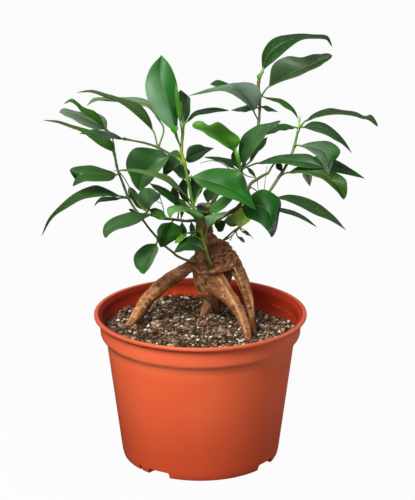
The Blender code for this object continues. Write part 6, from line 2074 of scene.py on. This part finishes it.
# the largest pale grains: (u, v, length, thickness, heading, tone)
LARGE_GRAINS = [
    (163.3, 304, 3.6, 3.0, 0.2, 0.96), (187.2, 299.6, 3.2, 3.0, 0.4, 0.97), (181.7, 298.6, 2.2, 2.2, 0.0, 0.70),
    (158.3, 311.7, 2.6, 2.0, 0.5, 0.95), (144.4, 318.3, 3.2, 2.6, 0.3, 0.88), (154.4, 319.4, 3.4, 2.6, 0.1, 0.90),
    (139.4, 322.0, 3.0, 3.0, 0.8, 0.96), (148.3, 327, 3.2, 1.8, 1.3, 0.74), (145.4, 331, 2.8, 2.0, 0.6, 0.70),
    (188.3, 320.5, 4.6, 1.7, 0.15, 0.66), (198.3, 328.6, 4.4, 1.8, 1.4, 0.72), (201.1, 316.2, 2.4, 1.8, 0.3, 0.72),
    (206.7, 320.6, 2.6, 1.8, 0.9, 0.65), (181.7, 327, 2.0, 1.7, 0.0, 0.65), (186.1, 336.7, 2.6, 2.0, 0.2, 1.00),
    (193.3, 337.6, 4.2, 2.4, 1.0, 0.72), (197.6, 341, 2.8, 1.6, 0.2, 0.70), (223.3, 332.8, 2.4, 1.8, 0.2, 0.60),
    (230, 327.2, 2.3, 1.8, 0.7, 0.60), (262.2, 326.7, 2.2, 1.9, 0.4, 0.65), (266.9, 326.4, 2.6, 1.6, 0.9, 0.35),
    (283.9, 323.9, 2.6, 1.9, 0.1, 0.95), (244, 341.6, 3.6, 2.0, 0.1, 0.92), (239.8, 342.2, 2.6, 1.8, 0.5, 0.90),
    (251.8, 337.9, 6.4, 1.5, -0.5, 0.00), (129.6, 312.6, 2.8, 2.0, 0.9, 0.90), (124.6, 320.3, 2.4, 1.7, 0.2, 0.20),
    (157.8, 327, 2.2, 1.7, 0.2, 0.60), (172.2, 311.8, 2.0, 1.7, 0.2, 0.60), (187.8, 307.9, 2.0, 1.7, 0.3, 0.60),
    (176.7, 318.2, 4.8, 1.4, 0.0, 0.10), (169, 334.6, 2.4, 1.6, 0.4, 0.30), (211, 338, 2.4, 1.8, 0.8, 0.70),
    (276, 329, 2.2, 1.6, 0.3, 0.25), (170.5, 302.4, 2.2, 1.8, 0.3, 0.30), (150.5, 306.2, 2.0, 1.6, 0.3, 0.35)]


def place_large_grains():
    rng = random.Random(5)
    base, tri = lump_shape(2)
    verts, faces, tone = [], [], []
    for u, v, length, thick, heading, shade in LARGE_GRAINS:
        # where the line of sight meets the soil
        near, far = -70.0, 70.0
        for _ in range(40):
            mid = (near + far) / 2
            p = sight(u, v, mid)
            if p.z > soil_top(p.x, p.y):
                near = mid
            else:
                far = mid
        p = sight(u, v, near)
        if near_root(p.x, p.y, p.z) < thick * 0.4 or math.hypot(p.x, p.y) > 67.5:
            continue
        seed = rng.uniform(0, 90)
        rough = np.array([1 + 0.45 * noise.noise(Vector((q[0] * 1.4 + seed, q[1] * 1.4, q[2] * 1.4)))
                          for q in base])
        stretch = np.array([length, thick, thick * 0.8]) * 0.5
        turn = Matrix.Rotation(heading, 3, 'Z') @ Matrix.Rotation(rng.uniform(-0.3, 0.3), 3, 'Y')
        pts = (base * rough[:, None] * stretch) @ np.array(turn).T
        pts += np.array([p.x, p.y, soil_top(p.x, p.y) + thick * 0.30 + 0.3])
        faces += [tuple(int(i) + len(verts) for i in face) for face in tri]
        verts += pts.tolist()
        tone += [shade] * len(base)
    obj = build("soil_large_grains", verts, faces, [GRIT])
    give(obj.data, "tone", tone)
    obj.data.set_sharp_from_angle(angle=math.radians(60))
    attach(obj, "root")


place_large_grains()


def make_fibres():
    rng = random.Random(37)
    verts, faces, tone = [], [], []
    made = 0
    while made < 210:
        r = 66.0 * math.sqrt(rng.random())
        a = rng.uniform(0, 2 * math.pi)
        x, y = r * math.cos(a), r * math.sin(a)
        heading = rng.uniform(0, 2 * math.pi)
        length = rng.uniform(2.5, 10.0)
        curl = rng.uniform(-0.35, 0.35)
        line, ok = [], True
        for k in range(7):
            z = soil_height(x, y) + max(soil_relief(x, y), -0.2) + 0.35 + 0.25 * math.sin(k * 0.9)
            if math.hypot(x, y) > 67.5 or near_root(x, y, z) < 0.5:
                ok = False
                break
            line.append(Vector((x, y, z)))
            x += math.cos(heading) * length / 6
            y += math.sin(heading) * length / 6
            heading += curl + rng.uniform(-0.15, 0.15)
        if not ok:
            continue
        made += 1
        thick = rng.uniform(0.10, 0.26)
        radii = [thick * (0.55 + 0.45 * math.sin(math.pi * (k + 0.5) / 7)) for k in range(7)]
        v, f, _ = tube_parts(line, radii, 5)
        faces += [tuple(len(verts) + k for k in face) for face in f]
        verts += v
        tone += [rng.random()] * len(v)
    obj = build("soil_fibres", verts, faces, [FIBRE])
    give(obj.data, "tone", tone)
    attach(obj, "root")
    return obj


make_fibres()


# --------------------------------------------------------- camera and lights
SKY_ABOVE = 0.25
SKY_BELOW = 0.06


def make_stage():
    size = 6.0
    mesh = bpy.data.meshes.new("floor")
    mesh.from_pydata([(-size, -size, 0), (size, -size, 0), (size, size, 0),
                      (-size, size, 0)], [], [(0, 1, 2, 3)])
    floor = bpy.data.objects.new("floor", mesh)
    bpy.context.scene.collection.objects.link(floor)
    pale = bpy.data.materials.new("pale_floor")
    pale.use_nodes = True
    tree = pale.node_tree
    shader = tree.nodes["Principled BSDF"]
    shader.inputs["Base Color"].default_value = (0.012, 0.012, 0.012, 1.0)
    shader.inputs["Roughness"].default_value = 0.9
    shader.inputs["Specular IOR Level"].default_value = 0.0
    shader.inputs["Emission Color"].default_value = (1.0, 1.0, 1.0, 1.0)
    shader.inputs["Emission Strength"].default_value = 0.957
    mesh.materials.append(pale)
    floor.visible_diffuse = False
    floor.visible_glossy = False

    world = bpy.data.worlds.new("studio")
    world.use_nodes = True
    nodes, links = world.node_tree.nodes, world.node_tree.links
    sky = nodes["Background"]
    where = nodes.new("ShaderNodeTexCoord")
    split = nodes.new("ShaderNodeSeparateXYZ")
    ramp = nodes.new("ShaderNodeMapRange")
    links.new(where.outputs["Generated"], split.inputs[0])
    links.new(split.outputs[2], ramp.inputs[0])
    for i, value in enumerate((-0.30, 0.25, SKY_BELOW, SKY_ABOVE)):
        ramp.inputs[1 + i].default_value = value
    sky.inputs[0].default_value = (1.0, 1.0, 1.0, 1.0)
    links.new(ramp.outputs[0], sky.inputs[1])
    wall = nodes.new("ShaderNodeBackground")
    wall.inputs[0].default_value = (1.0, 1.0, 1.0, 1.0)
    wall.inputs[1].default_value = 0.96
    kind = nodes.new("ShaderNodeLightPath")
    mix = nodes.new("ShaderNodeMixShader")
    links.new(kind.outputs["Is Camera Ray"], mix.inputs[0])
    links.new(sky.outputs[0], mix.inputs[1])
    links.new(wall.outputs[0], mix.inputs[2])
    links.new(mix.outputs[0], nodes["World Output"].inputs[0])
    bpy.context.scene.world = world

    def softbox(name, place, aim, width, height, power, colour=(1, 1, 1)):
        light = bpy.data.lights.new(name, 'AREA')
        light.shape = 'RECTANGLE'
        light.size = width
        light.size_y = height
        light.energy = power
        light.color = colour
        obj = bpy.data.objects.new(name, light)
        obj.location = place
        obj.rotation_mode = 'QUATERNION'
        obj.rotation_quaternion = (Vector(aim) - Vector(place)).to_track_quat('-Z', 'Y')
        obj.visible_camera = False
        bpy.context.scene.collection.objects.link(obj)
        return obj

    softbox("key", (-0.44, -0.72, 0.92), (0, 0, 0.15), 0.50, 0.50, 23.0)
    softbox("side", (1.42, 0.45, 0.085), (0, 0, 0.08), 1.0, 0.13, 8.3)
    softbox("front", (0.05, -1.9, 0.95), (0, 0, 0.15), 1.0, 0.8, 10.5)
    softbox("top", (-0.1, 0.35, 1.5), (0, 0, 0.2), 0.9, 0.9, 5.0)


make_stage()

camera_data = bpy.data.cameras.new("camera")
camera_data.lens = 129.6
camera_data.sensor_width = 36.0
camera_data.sensor_fit = 'AUTO'
camera_data.clip_start = 0.05
camera_data.clip_end = 40.0
camera = bpy.data.objects.new("camera", camera_data)
camera.location = VIEW_FROM * MM
camera.rotation_euler = (math.pi / 2 - VIEW_DOWN, 0.0, 0.0)
bpy.context.scene.collection.objects.link(camera)
bpy.context.scene.camera = camera
bpy.context.scene.view_settings.view_transform = 'Standard'
